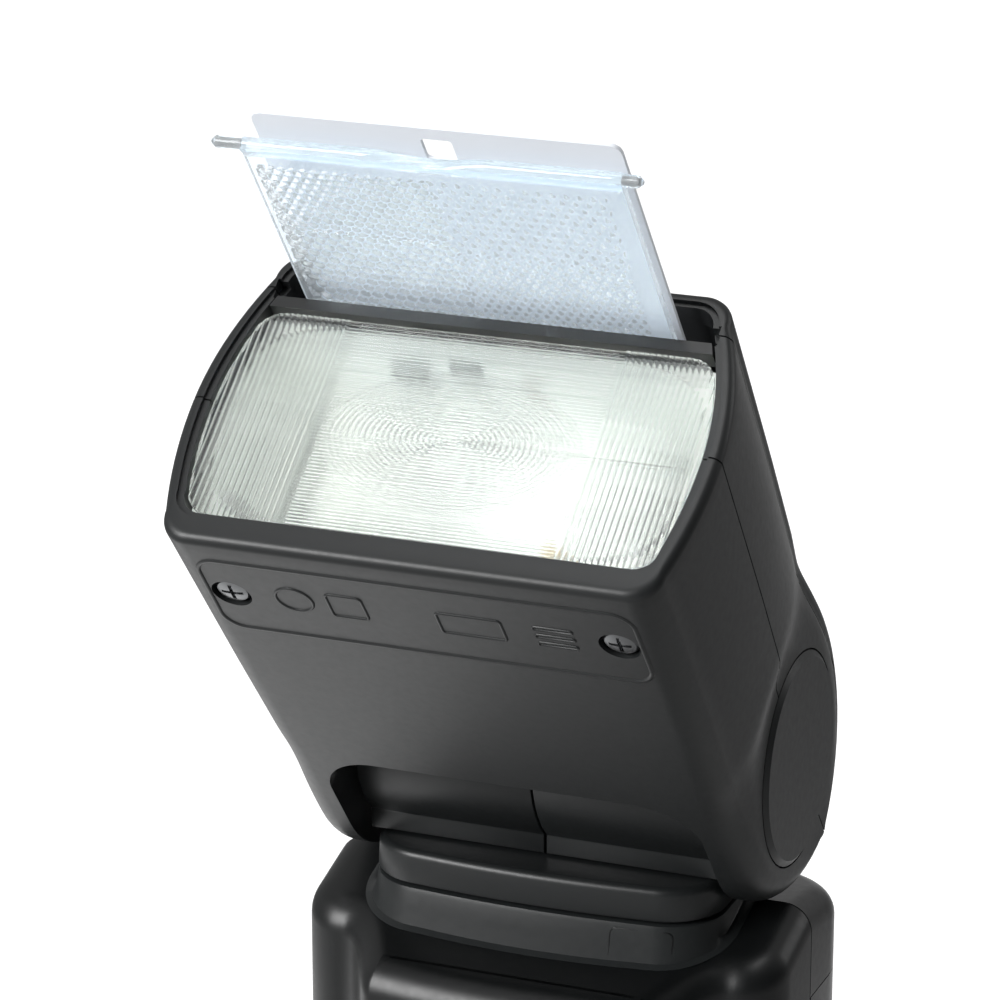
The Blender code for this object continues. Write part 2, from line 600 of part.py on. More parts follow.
def build_body_shells():
    hollow = body_form("body_hollow", WALL)
    hub = rod("hub_hole", HUB_HOLE, 70, 120, sides=40)
    front = body_form("front_shell", 0, "shell")
    cut(front, hollow, hub, box("behind_seam", (-80, -0.15, -10), (80, 80, 150)))
    window = extrusion("window_opening", rounded(15.4, 43.6, 66.4, 3.4), BODY_FRONT - 5, BODY_FRONT + 6, "Y")
    cut(front, window)

    rear = body_form("rear_shell", 0, "shell")
    cut(rear, hollow, hub, box("before_seam", (-80, -80, -10), (80, 0.15, 150)))
    cut(rear, extrusion(
        "display_opening", rounded(24.4, DISPLAY_Z[0] - 0.4, DISPLAY_Z[1] + 0.4, 2.4), 18, 30, "Y"))
    for i, x in enumerate(BUTTON_XS):
        cut(rear, rod(f"button_hole_{i}", 3.9, 18, 30, "Y", at=(x, 0, BUTTON_Z), sides=24))
    cut(rear, rod("dial_hole", 11.4, 18, 30, "Y", at=(0, 0, DIAL_Z), sides=40))
    cut(rear, rod("pilot_hole", 3.9, 18, 30, "Y", at=(PILOT_X, 0, DIAL_Z), sides=24))
    cut(rear, box("switch_slot", (SWITCH_X - 3, 18, DIAL_Z - 2.2), (SWITCH_X + 7.8, 30, DIAL_Z + 2.2)))
    sill = DOOR_Z[0] + 1.4
    cut(rear, box("hinge_notch", (30, -5, DOOR_Z[0] - 0.6), (50, DOOR_STEP_Y + 0.4, sill + 5)))
    cut(rear, box("door_opening", (29.4, -5, sill + DOOR_STEP), (50, DOOR_Y[1] + 0.4, DOOR_Z[1] + 0.4)))
    cut(rear, box("jack_opening", (-50, -5, JACK_Z - 9.4), (-30, JACK_Y + 9.7, JACK_Z + 9.4)))
    for i, x in enumerate(CASE_SCREW_XS):
        cut(front, rod(f"case_screw_seat_{i}", 2.95, 10, 15.9, at=(x, CASE_SCREW_Y, 0), sides=20))
        cut(front, rod(f"case_screw_way_{i}", 1.6, 12, 20, at=(x, CASE_SCREW_Y, 0), sides=16))


def build_collar():
    levels = (("base", 2.0), (COLLAR_TOP - 6.5, 1.1), (COLLAR_TOP - 0.8, 0.1), (COLLAR_TOP, -0.5))
    rings = []
    for z, flare in levels:
        plan = oval(OVAL_HALF, OVAL_DEPTH, -flare)
        rings.append([(x, y, body_top(y) + GAP if z == "base" else max(z, body_top(y) + GAP + 0.2)) for x, y in plan])
    left = (len(rings[0])) // 2
    collar = loft("turret_collar", rings, "collar", fold=(0, left))
    room = [[(x, y, z) for x, y in oval(OVAL_HALF, OVAL_DEPTH, 1.6)] for z in (60, COLLAR_TOP - 2.2)]
    cut(collar, loft("collar_room", room))
    combine(collar, rod("collar_spigot", HUB_HOLE - GAP, 90.3, COLLAR_TOP - 0.2, sides=40), "UNION")
    cut(collar, rod("collar_bore", 12.9, 60, 120))
    bearing = [(9.9, 92.0), (12.5, 92.0), (12.5, 89.9), (15.7, 89.9), (15.7, 88.4), (12.5, 88.4), (12.5, 82.0),
               (9.9, 82.0)]
    turned("swivel_bearing", bearing, "inner")


def build_insides():
    extrusion("front_window", rounded(15.0, 44.0, 66.0, 3.0), BODY_FRONT - 0.2, BODY_FRONT + 1.9, "Y", "red")
    extrusion(
        "display_window", rounded(24.0, DISPLAY_Z[0], DISPLAY_Z[1], 2.0), BODY_REAR - 1.5, BODY_REAR + 0.2, "Y",
        "display")
    turned("main_capacitor", [(0, 71), (11, 71), (11.8, 70), (11.8, 21), (11, 20), (0, 20)], "sleeve",
           at=(0, -13.9, 0))
    box("main_board", (-29, 17.5, 19), (29, 18.9, 83), "board")
    low, high = CELL_Z - 7.6, CELL_Z + 3 * CELL_PITCH + 7.6
    holder = box("battery_holder", (-24.4, CELL_Y - 8.6, low - 0.8), (29.0, CELL_Y + 8.6, high + 0.8), "inner")
    cut(holder, box("cell_room", (-23.0, CELL_Y - 7.6, low), (40, CELL_Y + 7.6, high)))
    for i in range(4):
        tip = CELL_RADIUS - 1.2
        half = CELL_LENGTH / 2
        profile = [(0, half), (2.7, half), (2.7, half - 1.2), (tip, half - 1.2), (CELL_RADIUS, half - 2.0),
                   (CELL_RADIUS, -half), (0, -half)]
        turned(f"battery_cell_{i + 1}", profile, "sleeve", None,
               (3.0, CELL_Y, CELL_Z + i * CELL_PITCH), "X", 24)
    rod("sync_socket", 2.8, -34.6, -28, "X", "brass", at=(0, 5.6, 65.5), sides=20)
    for name, x in zip(("case_screw_left", "case_screw_right"), CASE_SCREW_XS):
        build_cross_screw(name, None, (x, CASE_SCREW_Y, BODY_BOTTOM + 0.05), (math.pi, 0, 0), 5.0)


def build_foot():
    block = extrusion("foot_block", rounded(19.0, FOOT_Y - 16, FOOT_Y + 16, 4.0), 8.4, 14.15, "Z", "inner")
    round_edges(block, 0.8)
    plate = box(
        "foot_plate", (-FOOT_WIDTH / 2, FOOT_Y - FOOT_LENGTH / 2, 0),
        (FOOT_WIDTH / 2, FOOT_Y + FOOT_LENGTH / 2, FOOT_THICK), "steel")
    neck = rod("foot_neck", NECK_RADIUS, 1.0, 8.05, at=(0, FOOT_Y, 0), sides=40)
    combine(plate, neck, "UNION")
    cut(plate, rod("contact_bore", 1.8, -5, 5.2, at=(0, FOOT_Y, 0), sides=20))
    cut(plate, rod("lock_pin_bore", 1.3, -5, 3.5, at=(0, LOCK_PIN_Y, 0), sides=20))


# --- pieces that move on the body ---

def build_battery_door(hinge):
    """Flush side door that swings out about the pin along its lower edge."""
    y0, y1 = DOOR_Y
    low = hinge[2] + 0.2
    pivot = add_empty("battery_door_hinge", hinge)
    door = body_form("battery_door", 0, "shell")
    combine(door, box("door_span", (20, y0, low), (60, y1, DOOR_Z[1])), "INTERSECT")
    sweep = rod("door_sweep", DOOR_SWEEP, DOOR_STEP_Y, 14.5, "Y", at=(hinge[0], 0, hinge[2]), sides=40)
    step = box("door_step", (20, DOOR_STEP_Y, 0), (60, 60, low + DOOR_STEP))
    cut(door, body_form("door_room", DOOR_WALL), step, sweep)
    door.data.transform(Matrix.Translation(-Vector(hinge) * MM))
    door.parent = pivot
    knuckle = rod("door_knuckle", 1.5, y0, DOOR_STEP_Y, "Y", sides=20)
    bore = rod("door_pin_bore", 0.95, -30, 30, "Y", sides=16)
    knuckle.parent = bore.parent = pivot
    combine(door, knuckle, "UNION")
    cut(door, bore)
    inner = BODY_HALF - DOOR_WALL - hinge[0]
    box("door_contacts", (inner - 1.6, y0 + 2, 6), (inner - 1.0, y1 - 4, 54), "steel", pivot)
    rod("door_hinge_pin", 0.6, y0 + 0.1, DOOR_STEP_Y - 0.1, "Y", "steel", at=(hinge[0], 0, hinge[2]), sides=12)


def build_controls():
    face = BODY_REAR
    cap = [(0, 3.2), (2.6, 3.2), (3.3, 2.8), (3.5, 2.2), (3.5, 0), (0, 0)]
    names = ("mode_button", "minus_button", "plus_button", "light_button")
    for name, x in zip(names, BUTTON_XS):
        add_control(name, cap, (x, face - 2.3, BUTTON_Z), "rubber")
    add_control("pilot_button", cap, (PILOT_X, face - 2.3, DIAL_Z), "clear")
    ring = [(5.4, 3.9), (10.2, 3.9), (11.0, 3.1), (11.0, 0), (5.4, 0)]
    add_control("select_dial", ring, (0, face - 2.4, DIAL_Z), "rubber", 48)
    centre = [(0, 3.5), (3.9, 3.5), (4.9, 2.9), (4.9, 0), (0, 0)]
    add_control("set_button", centre, (0, face - 2.4, DIAL_Z), "rubber")
    box("power_switch", (-2.6, -2.4, -1.8), (2.6, 1.3, 1.8), "rubber", None, 0.4, (SWITCH_X, face, DIAL_Z))
    box("jack_cover", (-0.3, -0.5, -9), (1.5, 9.3, 9), "rubber", None, 0.5, (0.3 - BODY_HALF, JACK_Y, JACK_Z))


def add_control(name, profile, at, finish, steps=24):
    """A turned cap that faces backward, along +Y."""
    made = turned(name, profile, finish, None, at, steps=steps)
    made.rotation_euler = (-math.pi / 2, 0, 0)


def build_foot_movers():
    ring = [(6.6, 8.0), (14.6, 8.0), (15.2, 7.4), (15.2, 5.0), (14.6, 4.4), (6.6, 4.4)]
    turned("lock_ring", ring, "rubber", None, (0, FOOT_Y, 0), steps=40)
    rod("lock_pin", 0.9, 0.3, 4.05, "Z", "steel", at=(0, LOCK_PIN_Y, 0), sides=16)
    rod("centre_contact", 1.35, -0.5, 3.6, "Z", "brass", at=(0, FOOT_Y, 0), sides=20)


def build():
    swivel = add_empty("swivel_axis", (0, 0, 0))
    drum = add_empty("drum_axis", (0, 0, PIVOT_Z), parent=swivel)
    head = add_empty("tilt_axis", (0, 0, 0), 90 - HEAD_TILT, drum)
    build_head_shells(head)
    build_head_front(head)
    for side, name in ((-1, "head_screw_left"), (1, "head_screw_right")):
        low = head_heights(62.7)[0]
        build_cross_screw(name, head, (side * 28.0, low + 0.15, 62.7), (math.pi / 2, 0, 0), 5.5)
    build_pivot_covers(head)
    build_zoom(head, add_empty("zoom_travel", (0, 0, REFLECTOR_V), parent=head))
    build_lead_screw(add_empty("lead_screw_axis", (SCREW_X, SCREW_W, 0), parent=head))
    build_wide_panel(add_empty("panel_travel", (PANEL_X, 0, PANEL_V), parent=head))
    build_bounce_card(add_empty("card_travel", (0, 0, CARD_V), parent=head))
    build_turret(swivel, drum)
    build_body_shells()
    build_collar()
    build_insides()
    build_foot()
    build_battery_door((BODY_HALF - 1.9, 0, DOOR_Z[0] + 1.6))
    build_controls()
    build_foot_movers()


clear_scene()
PARTS = new_collection(NAME)
CUTTERS = new_collection("cutters")
build()
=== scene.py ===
"""Looks of the speedlight flash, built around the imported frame.

Shapes are drawn in millimetres, either in the row frame or in the head's own space, whose
Z is the optical axis, Y the head's top side and X its right. MM turns them into metres.
"""
import json
import math

import bmesh
import bpy
from mathutils import Matrix, Vector


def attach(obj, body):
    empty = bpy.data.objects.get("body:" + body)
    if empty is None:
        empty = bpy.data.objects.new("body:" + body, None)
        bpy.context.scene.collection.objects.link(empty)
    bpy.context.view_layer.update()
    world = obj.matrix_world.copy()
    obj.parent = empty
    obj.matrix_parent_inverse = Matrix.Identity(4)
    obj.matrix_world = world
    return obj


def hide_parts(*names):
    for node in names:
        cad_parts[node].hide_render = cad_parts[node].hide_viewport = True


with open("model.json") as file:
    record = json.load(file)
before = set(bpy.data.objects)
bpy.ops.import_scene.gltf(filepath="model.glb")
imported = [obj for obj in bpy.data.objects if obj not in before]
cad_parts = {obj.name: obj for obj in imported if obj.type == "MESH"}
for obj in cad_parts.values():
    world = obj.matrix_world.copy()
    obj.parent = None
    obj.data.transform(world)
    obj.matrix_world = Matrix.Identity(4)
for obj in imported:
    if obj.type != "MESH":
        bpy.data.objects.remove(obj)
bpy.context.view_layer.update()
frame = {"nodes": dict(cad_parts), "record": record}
NODES = frame["nodes"]
MM = 0.001

PIVOT_Z = 114.5                 # tilt axis above the foot
HEAD_TILT = 51.7                # elevation of the optical axis at rest
HEAD = Matrix.Translation((0, 0, PIVOT_Z * MM)) @ Matrix.Rotation(math.radians(90 - HEAD_TILT), 4, "X")
ROW = Matrix.Identity(4)

# --- the CAD's driving sizes, repeated ---
WALL, GAP = 1.8, 0.35
HEAD_FRONT, HEAD_TOP, HEAD_BOTTOM = 75.5, 26.5, -22.5
REAR_RADIUS, REAR_TOP = 21.4, 24.6
HEAD_WIDTHS = ((-30, 34.9), (0, 35.1), (24, 36.9), (43, 37.5), (HEAD_FRONT, 38.2))
BARREL_TOP, BARREL_BOTTOM = 4.0, 3.0
LOWER_SEAM, UPPER_SEAM, SEAM_GAP = 0.35, 19.75, 0.13
RIM_INSET, RIM_ROUND = 2.7, 1.4
OPENING_BOTTOM, OPENING_TOP, LENS_TOP = -17.8, 24.2, 16.4
CAVITY_BACK, CAVITY_FRONT = 20.6, 71.2
SLOT_HALF, SLOT_REACH = 28.5, 18.8
EAR_FACE, EAR_FLAT, EAR_BLEND = 34.8, 16.6, 27.0
COVER_RADIUS = 15.8
PLATE_TOP, PLATE_BOTTOM, COLLAR_TOP = PIVOT_Z - 16.4, PIVOT_Z - 21.6, PIVOT_Z - 22.0
OVAL_HALF, OVAL_DEPTH, OVAL_CORNER, OVAL_BOW = 27.0, 17.8, 9.0, 1.0
BODY_BOTTOM, BODY_TOP, SLOPE_FRONT, SLOPE_REAR = 14.5, 91.7, 0.29, -0.17
BODY_HALF, BODY_REAR, BODY_FRONT, REAR_CORNER, BODY_EDGE = 37.5, 22.5, -29.6, 13.5, 4.2
HUB_HOLE = 16.4
DIAL_Z, BUTTON_Z, DISPLAY_Z = 37.0, 55.5, (63.0, 83.0)
BUTTON_XS, PILOT_X, SWITCH_X = (-19.5, -6.5, 6.5, 19.5), 21.5, -22.6
DOOR_Y, DOOR_Z, DOOR_STEP_Y, SILL = (0.4, 16.2), (18.6, 77.0), 9.8, 20.0
JACK_Y, JACK_Z = 1.1, 61.0
FOOT_Y = -5.0
PANEL_X, PANEL_V, PANEL_LENGTH, PANEL_LOW, PANEL_HIGH = -0.9, 107.5, 34.5, 19.1, 20.5
PANEL_HALF, BAR_LEFT, BAR_RIGHT = 26.8, -31.1, 29.7
SCREW_X, SCREW_V = 28.0, 62.7


# --- camera, floor and light ---

def make_camera():
    azimuth, elevation = math.radians(21.85), math.radians(18.26)
    distance, aside, above = 647.4, -10.65, 33.15
    back = Vector((math.sin(azimuth) * math.cos(elevation), -math.cos(azimuth) * math.cos(elevation),
                   math.sin(elevation)))
    right = Vector((math.cos(azimuth), math.sin(azimuth), 0))
    up = back.cross(right)
    data = bpy.data.cameras.new("camera")
    data.lens = 158.61
    data.sensor_width = 36
    data.clip_start, data.clip_end = 0.05, 20
    camera = bpy.data.objects.new("camera", data)
    turn = Matrix((right, up, back)).transposed().to_4x4()
    place = Vector((0, 0, PIVOT_Z)) + right * aside + up * above + back * distance
    camera.matrix_world = Matrix.Translation(place * MM) @ turn
    bpy.context.scene.collection.objects.link(camera)
    bpy.context.scene.camera = camera


def make_floor():
    """Grey paper that gives off light in a strip behind the object and in a pool under the head."""
    bpy.ops.mesh.primitive_plane_add(size=8, location=(0, 0, -0.0012))
    floor = bpy.context.object
    floor.name = "floor"
    surface = new_material("floor_paper")
    nodes, links = surface.node_tree.nodes, surface.node_tree.links
    shader = nodes["Principled BSDF"]
    shader.inputs["Base Color"].default_value = (0.42, 0.42, 0.42, 1)
    shader.inputs["Roughness"].default_value = 0.9
    shader.inputs["Specular IOR Level"].default_value = 0.1
    shader.inputs["Emission Color"].default_value = (1, 1, 1, 1)

    def math_node(operation, first, second=None):
        node = nodes.new("ShaderNodeMath")
        node.operation = operation
        for socket, value in zip(node.inputs, (first, second)):
            if isinstance(value, float):
                socket.default_value = value
            elif value is not None:
                links.new(value, socket)
        return node.outputs[0]

    def along(direction):
        node = nodes.new("ShaderNodeVectorMath")
        node.operation = "DOT_PRODUCT"
        links.new(coordinate.outputs["Object"], node.inputs[0])
        node.inputs[1].default_value = direction
        return node.outputs["Value"]

    def fade(value, start, end):
        node = nodes.new("ShaderNodeMapRange")
        node.interpolation_type = "SMOOTHSTEP"
        node.inputs["From Min"].default_value = start
        node.inputs["From Max"].default_value = end
        links.new(value, node.inputs["Value"])
        return node.outputs[0]

    coordinate = nodes.new("ShaderNodeTexCoord")
    azimuth = math.radians(STRIP_AZIMUTH)
    aside = math_node("ABSOLUTE", along((math.cos(azimuth), math.sin(azimuth), 0)))
    away = math_node("ADD", along((-math.sin(azimuth), math.cos(azimuth), 0)), STRIP_APEX)
    slant = math_node("DIVIDE", aside, math_node("MAXIMUM", away, 0.05))
    strip = math_node("MULTIPLY", fade(slant, *STRIP_SIDES), fade(away, *STRIP_NEAR))
    distance = nodes.new("ShaderNodeVectorMath")
    distance.operation = "DISTANCE"
    links.new(coordinate.outputs["Object"], distance.inputs[0])
    distance.inputs[1].default_value = POOL_PLACE
    pool = math_node("MULTIPLY", fade(distance.outputs["Value"], *POOL_REACH), POOL_GLOW)
    lit = math_node("MAXIMUM", math_node("MULTIPLY", strip, STRIP_GLOW), pool)
    links.new(lit, shader.inputs["Emission Strength"])
    floor.data.materials.append(surface)


def make_light():
    world = bpy.data.worlds.new("studio")
    bpy.context.scene.world = world
    world.use_nodes = True
    nodes, links = world.node_tree.nodes, world.node_tree.links
    coordinate = nodes.new("ShaderNodeTexCoord")
    toward = nodes.new("ShaderNodeVectorMath")
    toward.operation = "DOT_PRODUCT"
    toward.inputs[1].default_value = SOFT_WALL
    ramp = nodes.new("ShaderNodeValToRGB")
    span = nodes.new("ShaderNodeMapRange")
    links.new(coordinate.outputs["Generated"], toward.inputs[0])
    links.new(toward.outputs["Value"], span.inputs["Value"])
    span.inputs["From Min"].default_value = -1
    links.new(span.outputs[0], ramp.inputs[0])
    ramp.color_ramp.elements[0].position = 0.42
    ramp.color_ramp.elements[0].color = (0.06, 0.062, 0.064, 1)
    ramp.color_ramp.elements[1].position = 0.80
    ramp.color_ramp.elements[1].color = (0.36, 0.36, 0.36, 1)
    links.new(ramp.outputs[0], nodes["Background"].inputs["Color"])
    for name, place, aim, size, power in LAMPS:
        data = bpy.data.lights.new(name, "AREA")
        data.shape = "RECTANGLE"
        data.size, data.size_y = size
        data.energy = power
        lamp = bpy.data.objects.new(name, data)
        lamp.location = place
        lamp.rotation_euler = (Vector(aim) - Vector(place)).to_track_quat("-Z", "Y").to_euler()
        bpy.context.scene.collection.objects.link(lamp)
    bpy.context.scene.view_settings.view_transform = "Standard"


SOFT_WALL = (-0.5, 0.62, 0.6)   # where the bright side of the studio is
STRIP_AZIMUTH, STRIP_APEX = 21.85, 0.615        # the lit strip widens from this point away
STRIP_SIDES, STRIP_NEAR, STRIP_GLOW = (0.20, 0.132), (0.60, 0.72), 0.95
POOL_PLACE, POOL_REACH, POOL_GLOW = (-0.13, 0.0, 0), (0.18, 0.02), 1.2       # lights the head's underside
# name, place, aim, size, watts
LAMPS = (
    ("key", (-0.62, -0.95, 0.62), (0, 0, 0.15), (0.6, 0.6), 15),
    ("right", (0.75, 0.75, 0.55), (0, 0, 0.12), (0.12, 0.6), 0.8),
    ("top", (0.0, -0.1, 1.1), (0, 0, 0.15), (0.7, 0.5), 3),
)


# --- materials ---

def new_material(name):
    made = bpy.data.materials.new(name)
    made.use_nodes = True
    return made


def grained(name, colour, roughness, scale=900, depth=0.02, spread=0.08, metallic=0.0, coat=0.0, glow=0.0):
    """Moulded or cast surface: fine bump, and roughness and tone that vary a little.

    Glow is painted light: the surface gives off light in its own tone, which makes the pale parts brighter
    than the lamps light them."""
    made = new_material(name)
    nodes, links = made.node_tree.nodes, made.node_tree.links
    shader = nodes["Principled BSDF"]
    coordinate = nodes.new("ShaderNodeTexCoord")
    grain = nodes.new("ShaderNodeTexNoise")
    grain.inputs["Scale"].default_value = scale
    grain.inputs["Detail"].default_value = 4
    cloud = nodes.new("ShaderNodeTexNoise")
    cloud.inputs["Scale"].default_value = 60
    cloud.inputs["Detail"].default_value = 3
    for texture in (grain, cloud):
        links.new(coordinate.outputs["Object"], texture.inputs["Vector"])
    tone = nodes.new("ShaderNodeMix")
    tone.data_type = "RGBA"
    tone.inputs["A"].default_value = (*(c * (1 - spread) for c in colour), 1)
    tone.inputs["B"].default_value = (*(c * (1 + spread) for c in colour), 1)
    links.new(cloud.outputs["Fac"], tone.inputs["Factor"])
    links.new(tone.outputs["Result"], shader.inputs["Base Color"])
    rough = nodes.new("ShaderNodeMapRange")
    rough.inputs["To Min"].default_value = roughness - 0.06
    rough.inputs["To Max"].default_value = roughness + 0.06
    links.new(grain.outputs["Fac"], rough.inputs["Value"])
    links.new(rough.outputs[0], shader.inputs["Roughness"])
    bump = nodes.new("ShaderNodeBump")
    bump.inputs["Strength"].default_value = 0.35
    bump.inputs["Distance"].default_value = depth * MM
    links.new(grain.outputs["Fac"], bump.inputs["Height"])
    links.new(bump.outputs[0], shader.inputs["Normal"])
    shader.inputs["Metallic"].default_value = metallic
    shader.inputs["Coat Weight"].default_value = coat
    # painted light: the surface glows in its own tone though it is no lamp
    links.new(tone.outputs["Result"], shader.inputs["Emission Color"])
    shader.inputs["Emission Strength"].default_value = glow
    return made


def clear(name, colour, roughness, ior=1.49, alpha=1.0, glow=0.0):
    """Clear plastic or glass. Less alpha lets more light straight through it.

    Glow is painted light that the surface gives off, though it is no lamp."""
    made = new_material(name)
    nodes, links = made.node_tree.nodes, made.node_tree.links
    shader = nodes["Principled BSDF"]
    noise = nodes.new("ShaderNodeTexNoise")
    noise.inputs["Scale"].default_value = 200
    rough = nodes.new("ShaderNodeMapRange")
    rough.inputs["To Min"].default_value = roughness * 0.7
    rough.inputs["To Max"].default_value = roughness * 1.3
    links.new(noise.outputs["Fac"], rough.inputs["Value"])
    links.new(rough.outputs[0], shader.inputs["Roughness"])
    shader.inputs["Base Color"].default_value = (*colour, 1)
    shader.inputs["IOR"].default_value = ior
    shader.inputs["Transmission Weight"].default_value = 1.0
    shader.inputs["Alpha"].default_value = alpha
    # painted light: the clear surface glows in its own colour
    shader.inputs["Emission Color"].default_value = (*colour, 1)
    shader.inputs["Emission Strength"].default_value = glow
    return made


def make_materials():
    return {
        "shell": grained("satin_black", (0.014, 0.0155, 0.016), 0.40),
        "rim": grained("satin_black_rim", (0.008, 0.009, 0.0095), 0.34),
        "body": grained("satin_black_body", (0.0045, 0.0052, 0.0055), 0.36),
        "drum": grained("satin_black_drum", (0.013, 0.0145, 0.015), 0.38),
        "collar": grained("satin_grey_collar", (0.016, 0.018, 0.0185), 0.36),
        "inner": grained("inner_plastic", (0.012, 0.012, 0.013), 0.5),
        # the lining's glow is painted light, which brightens the walls seen through the lens where little
        # lamp light reaches
        "lining": grained("white_lining", (0.80, 0.84, 0.80), 0.35, 300, 0.01, 0.04, glow=0.40),
        "steel": grained("plated_steel", (0.56, 0.56, 0.57), 0.28, 1500, 0.005, 0.05, 1.0),
        "dark_steel": grained("dark_zinc", (0.20, 0.205, 0.21), 0.32, 1500, 0.005, 0.1, 1.0),
        # the reflector's glow is painted light, which brightens it behind the lens
        "mirror": grained("polished_reflector", (0.93, 0.94, 0.92), 0.25, 2500, 0.002, 0.02, 1.0,
                          glow=0.28),
        "brass": grained("brass", (0.72, 0.53, 0.26), 0.28, 1500, 0.005, 0.06, 1.0),
        "lens": clear("lens_plastic", (0.97, 0.99, 0.975), 0.03, alpha=0.7),
        "glass": clear("tube_glass", (0.98, 0.99, 1.0), 0.05, 1.46, 0.7),
        # the panel's glow of 0.10 is painted light, which lifts it to a bright pale blue
        "panel": clear("panel_plastic", (0.84, 0.92, 0.98), 0.04, 1.47, 0.85, 0.10),
        # the card's glow is painted light, which keeps it nearly as bright as the backdrop
        "card": grained("card_plastic", (0.78, 0.81, 0.86), 0.5, 700, 0.004, 0.01, glow=0.17),
        "window": grained("red_window", (0.05, 0.002, 0.004), 0.12, 900, 0.0, 0.1, 0.0, 1.0),
        "board": grained("board_lacquer", (0.02, 0.13, 0.06), 0.35),
        "sleeve": grained("shrink_sleeve", (0.02, 0.03, 0.09), 0.3, coat=0.5),
        "cell": grained("cell_sleeve", (0.35, 0.30, 0.16), 0.35, metallic=0.6),
        "rubber": grained("control_rubber", (0.018, 0.018, 0.019), 0.7, 1400, 0.03),
        "display": grained("display_window", (0.055, 0.065, 0.058), 0.1, 900, 0.0, 0.05, 0.0, 1.0),
        "segment": grained("display_segment", (0.008, 0.009, 0.009), 0.3),
        "ink": grained("white_ink", (0.55, 0.56, 0.56), 0.5, 1200, 0.005, 0.05),
        "pilot": grained("pilot_plastic", (0.55, 0.55, 0.52), 0.3),
        "nub": grained("grey_nub", (0.42, 0.41, 0.40), 0.4),
        "clip": grained("grey_clip", (0.16, 0.18, 0.17), 0.4),
        "bead": grained("brown_bead", (0.22, 0.15, 0.08), 0.4),
    }


SLOT_MATERIALS = {
    "shell_plastic": "shell", "collar_plastic": "collar", "inner_plastic": "inner",
    "screw_steel": "dark_steel", "bare_steel": "steel", "reflector_metal": "mirror",
    "contact_brass": "brass", "lens_plastic": "lens", "tube_glass": "glass",
    "panel_plastic": "panel", "card_plastic": "card", "window_plastic": "window",
    "circuit_board": "board", "sleeve_plastic": "sleeve", "cell_can": "cell",
    "control_rubber": "rubber", "display_plastic": "display", "pilot_plastic": "pilot",
}


def paint_nodes():
    """The CAD nodes that stay in view: their material, welded corners and sharp folds."""
    own = {"front_bar": "rim", "drum_left_half": "drum", "drum_right_half": "drum", "battery_door": "body"}
    for part in frame["record"]["subparts"]:
        node = NODES[part["node"]]
        finish = own.get(part["node"], SLOT_MATERIALS[part["material_slot"]])
        node.data.materials.clear()
        node.data.materials.append(MATERIALS[finish])
        node.data.shade_smooth()
        weld = node.modifiers.new("weld", "WELD")
        weld.merge_threshold = 1e-6
        split = node.modifiers.new("split", "EDGE_SPLIT")
        split.split_angle = math.radians(32)


# --- shapes ---

AXES = {                        # turns a shape's own Z to the named axis (to -Y for "Y")
    "X": Matrix(((0, 0, 1, 0), (1, 0, 0, 0), (0, 1, 0, 0), (0, 0, 0, 1))),
    "Y": Matrix(((1, 0, 0, 0), (0, 0, -1, 0), (0, 1, 0, 0), (0, 0, 0, 1))),
    "Z": Matrix.Identity(4),
}


def linked(name, mesh):
    made = bpy.data.objects.new(name, mesh)
    bpy.context.scene.collection.objects.link(made)
    return made


def from_shape(name, shape):
    bmesh.ops.recalc_face_normals(shape, faces=shape.faces)
    mesh = bpy.data.meshes.new(name)
    shape.to_mesh(mesh)
    shape.free()
    return linked(name, mesh)


def box(name, low, high):
    low, high = Vector(low) * MM, Vector(high) * MM
    shape = bmesh.new()
    bmesh.ops.create_cube(shape, size=1)
    bmesh.ops.scale(shape, vec=high - low, verts=shape.verts)
    bmesh.ops.translate(shape, vec=(low + high) / 2, verts=shape.verts)
    return from_shape(name, shape)


def lay_along(shape, start, end, axis):
    """Turns a shape centred on its own Z to an axis and centres it between start and end."""
    middle = (start + end) / 2 * MM
    bmesh.ops.translate(shape, vec=(0, 0, -middle if axis == "Y" else middle), verts=shape.verts)
    bmesh.ops.transform(shape, matrix=AXES[axis], verts=shape.verts)


def rod(name, radius, start, end, axis="Z", at=(0, 0, 0), sides=64):
    shape = bmesh.new()
    bmesh.ops.create_cone(
        shape, cap_ends=True, segments=sides, radius1=radius * MM, radius2=radius * MM,
        depth=(end - start) * MM)
    lay_along(shape, start, end, axis)
    bmesh.ops.translate(shape, vec=Vector(at) * MM, verts=shape.verts)
    return from_shape(name, shape)


def extrusion(name, outline, start, end, axis="Z"):
    """A flat outline given thickness. Along X it is drawn in Y and Z, along Y in X and Z."""
    shape = bmesh.new()
    half = (end - start) / 2
    rings = [[shape.verts.new((a * MM, b * MM, c * MM)) for a, b in outline] for c in (-half, half)]
    count = len(outline)
    for i in range(count):
        j = (i + 1) % count
        shape.faces.new((rings[0][i], rings[0][j], rings[1][j], rings[1][i]))
    for ring in rings:
        shape.faces.new(ring)
    lay_along(shape, start, end, axis)
    return from_shape(name, shape)


def loft(name, rings, fold=None, capped=True):
    """Joins rings of equal length; fold gives two ring indices across which the caps bend."""
    shape = bmesh.new()
    loops = [[shape.verts.new(Vector(p) * MM) for p in ring] for ring in rings]
    count = len(rings[0])
    for lower, upper in zip(loops, loops[1:]):
        for i in range(count):
            j = (i + 1) % count
            shape.faces.new((lower[i], lower[j], upper[j], upper[i]))
    for loop in (loops[0], loops[-1]) if capped else ():
        if fold:
            first, second = fold
            shape.faces.new(loop[first:second + 1])
            shape.faces.new(loop[second:] + loop[:first + 1])
        else:
            shape.faces.new(loop)
    return from_shape(name, shape)


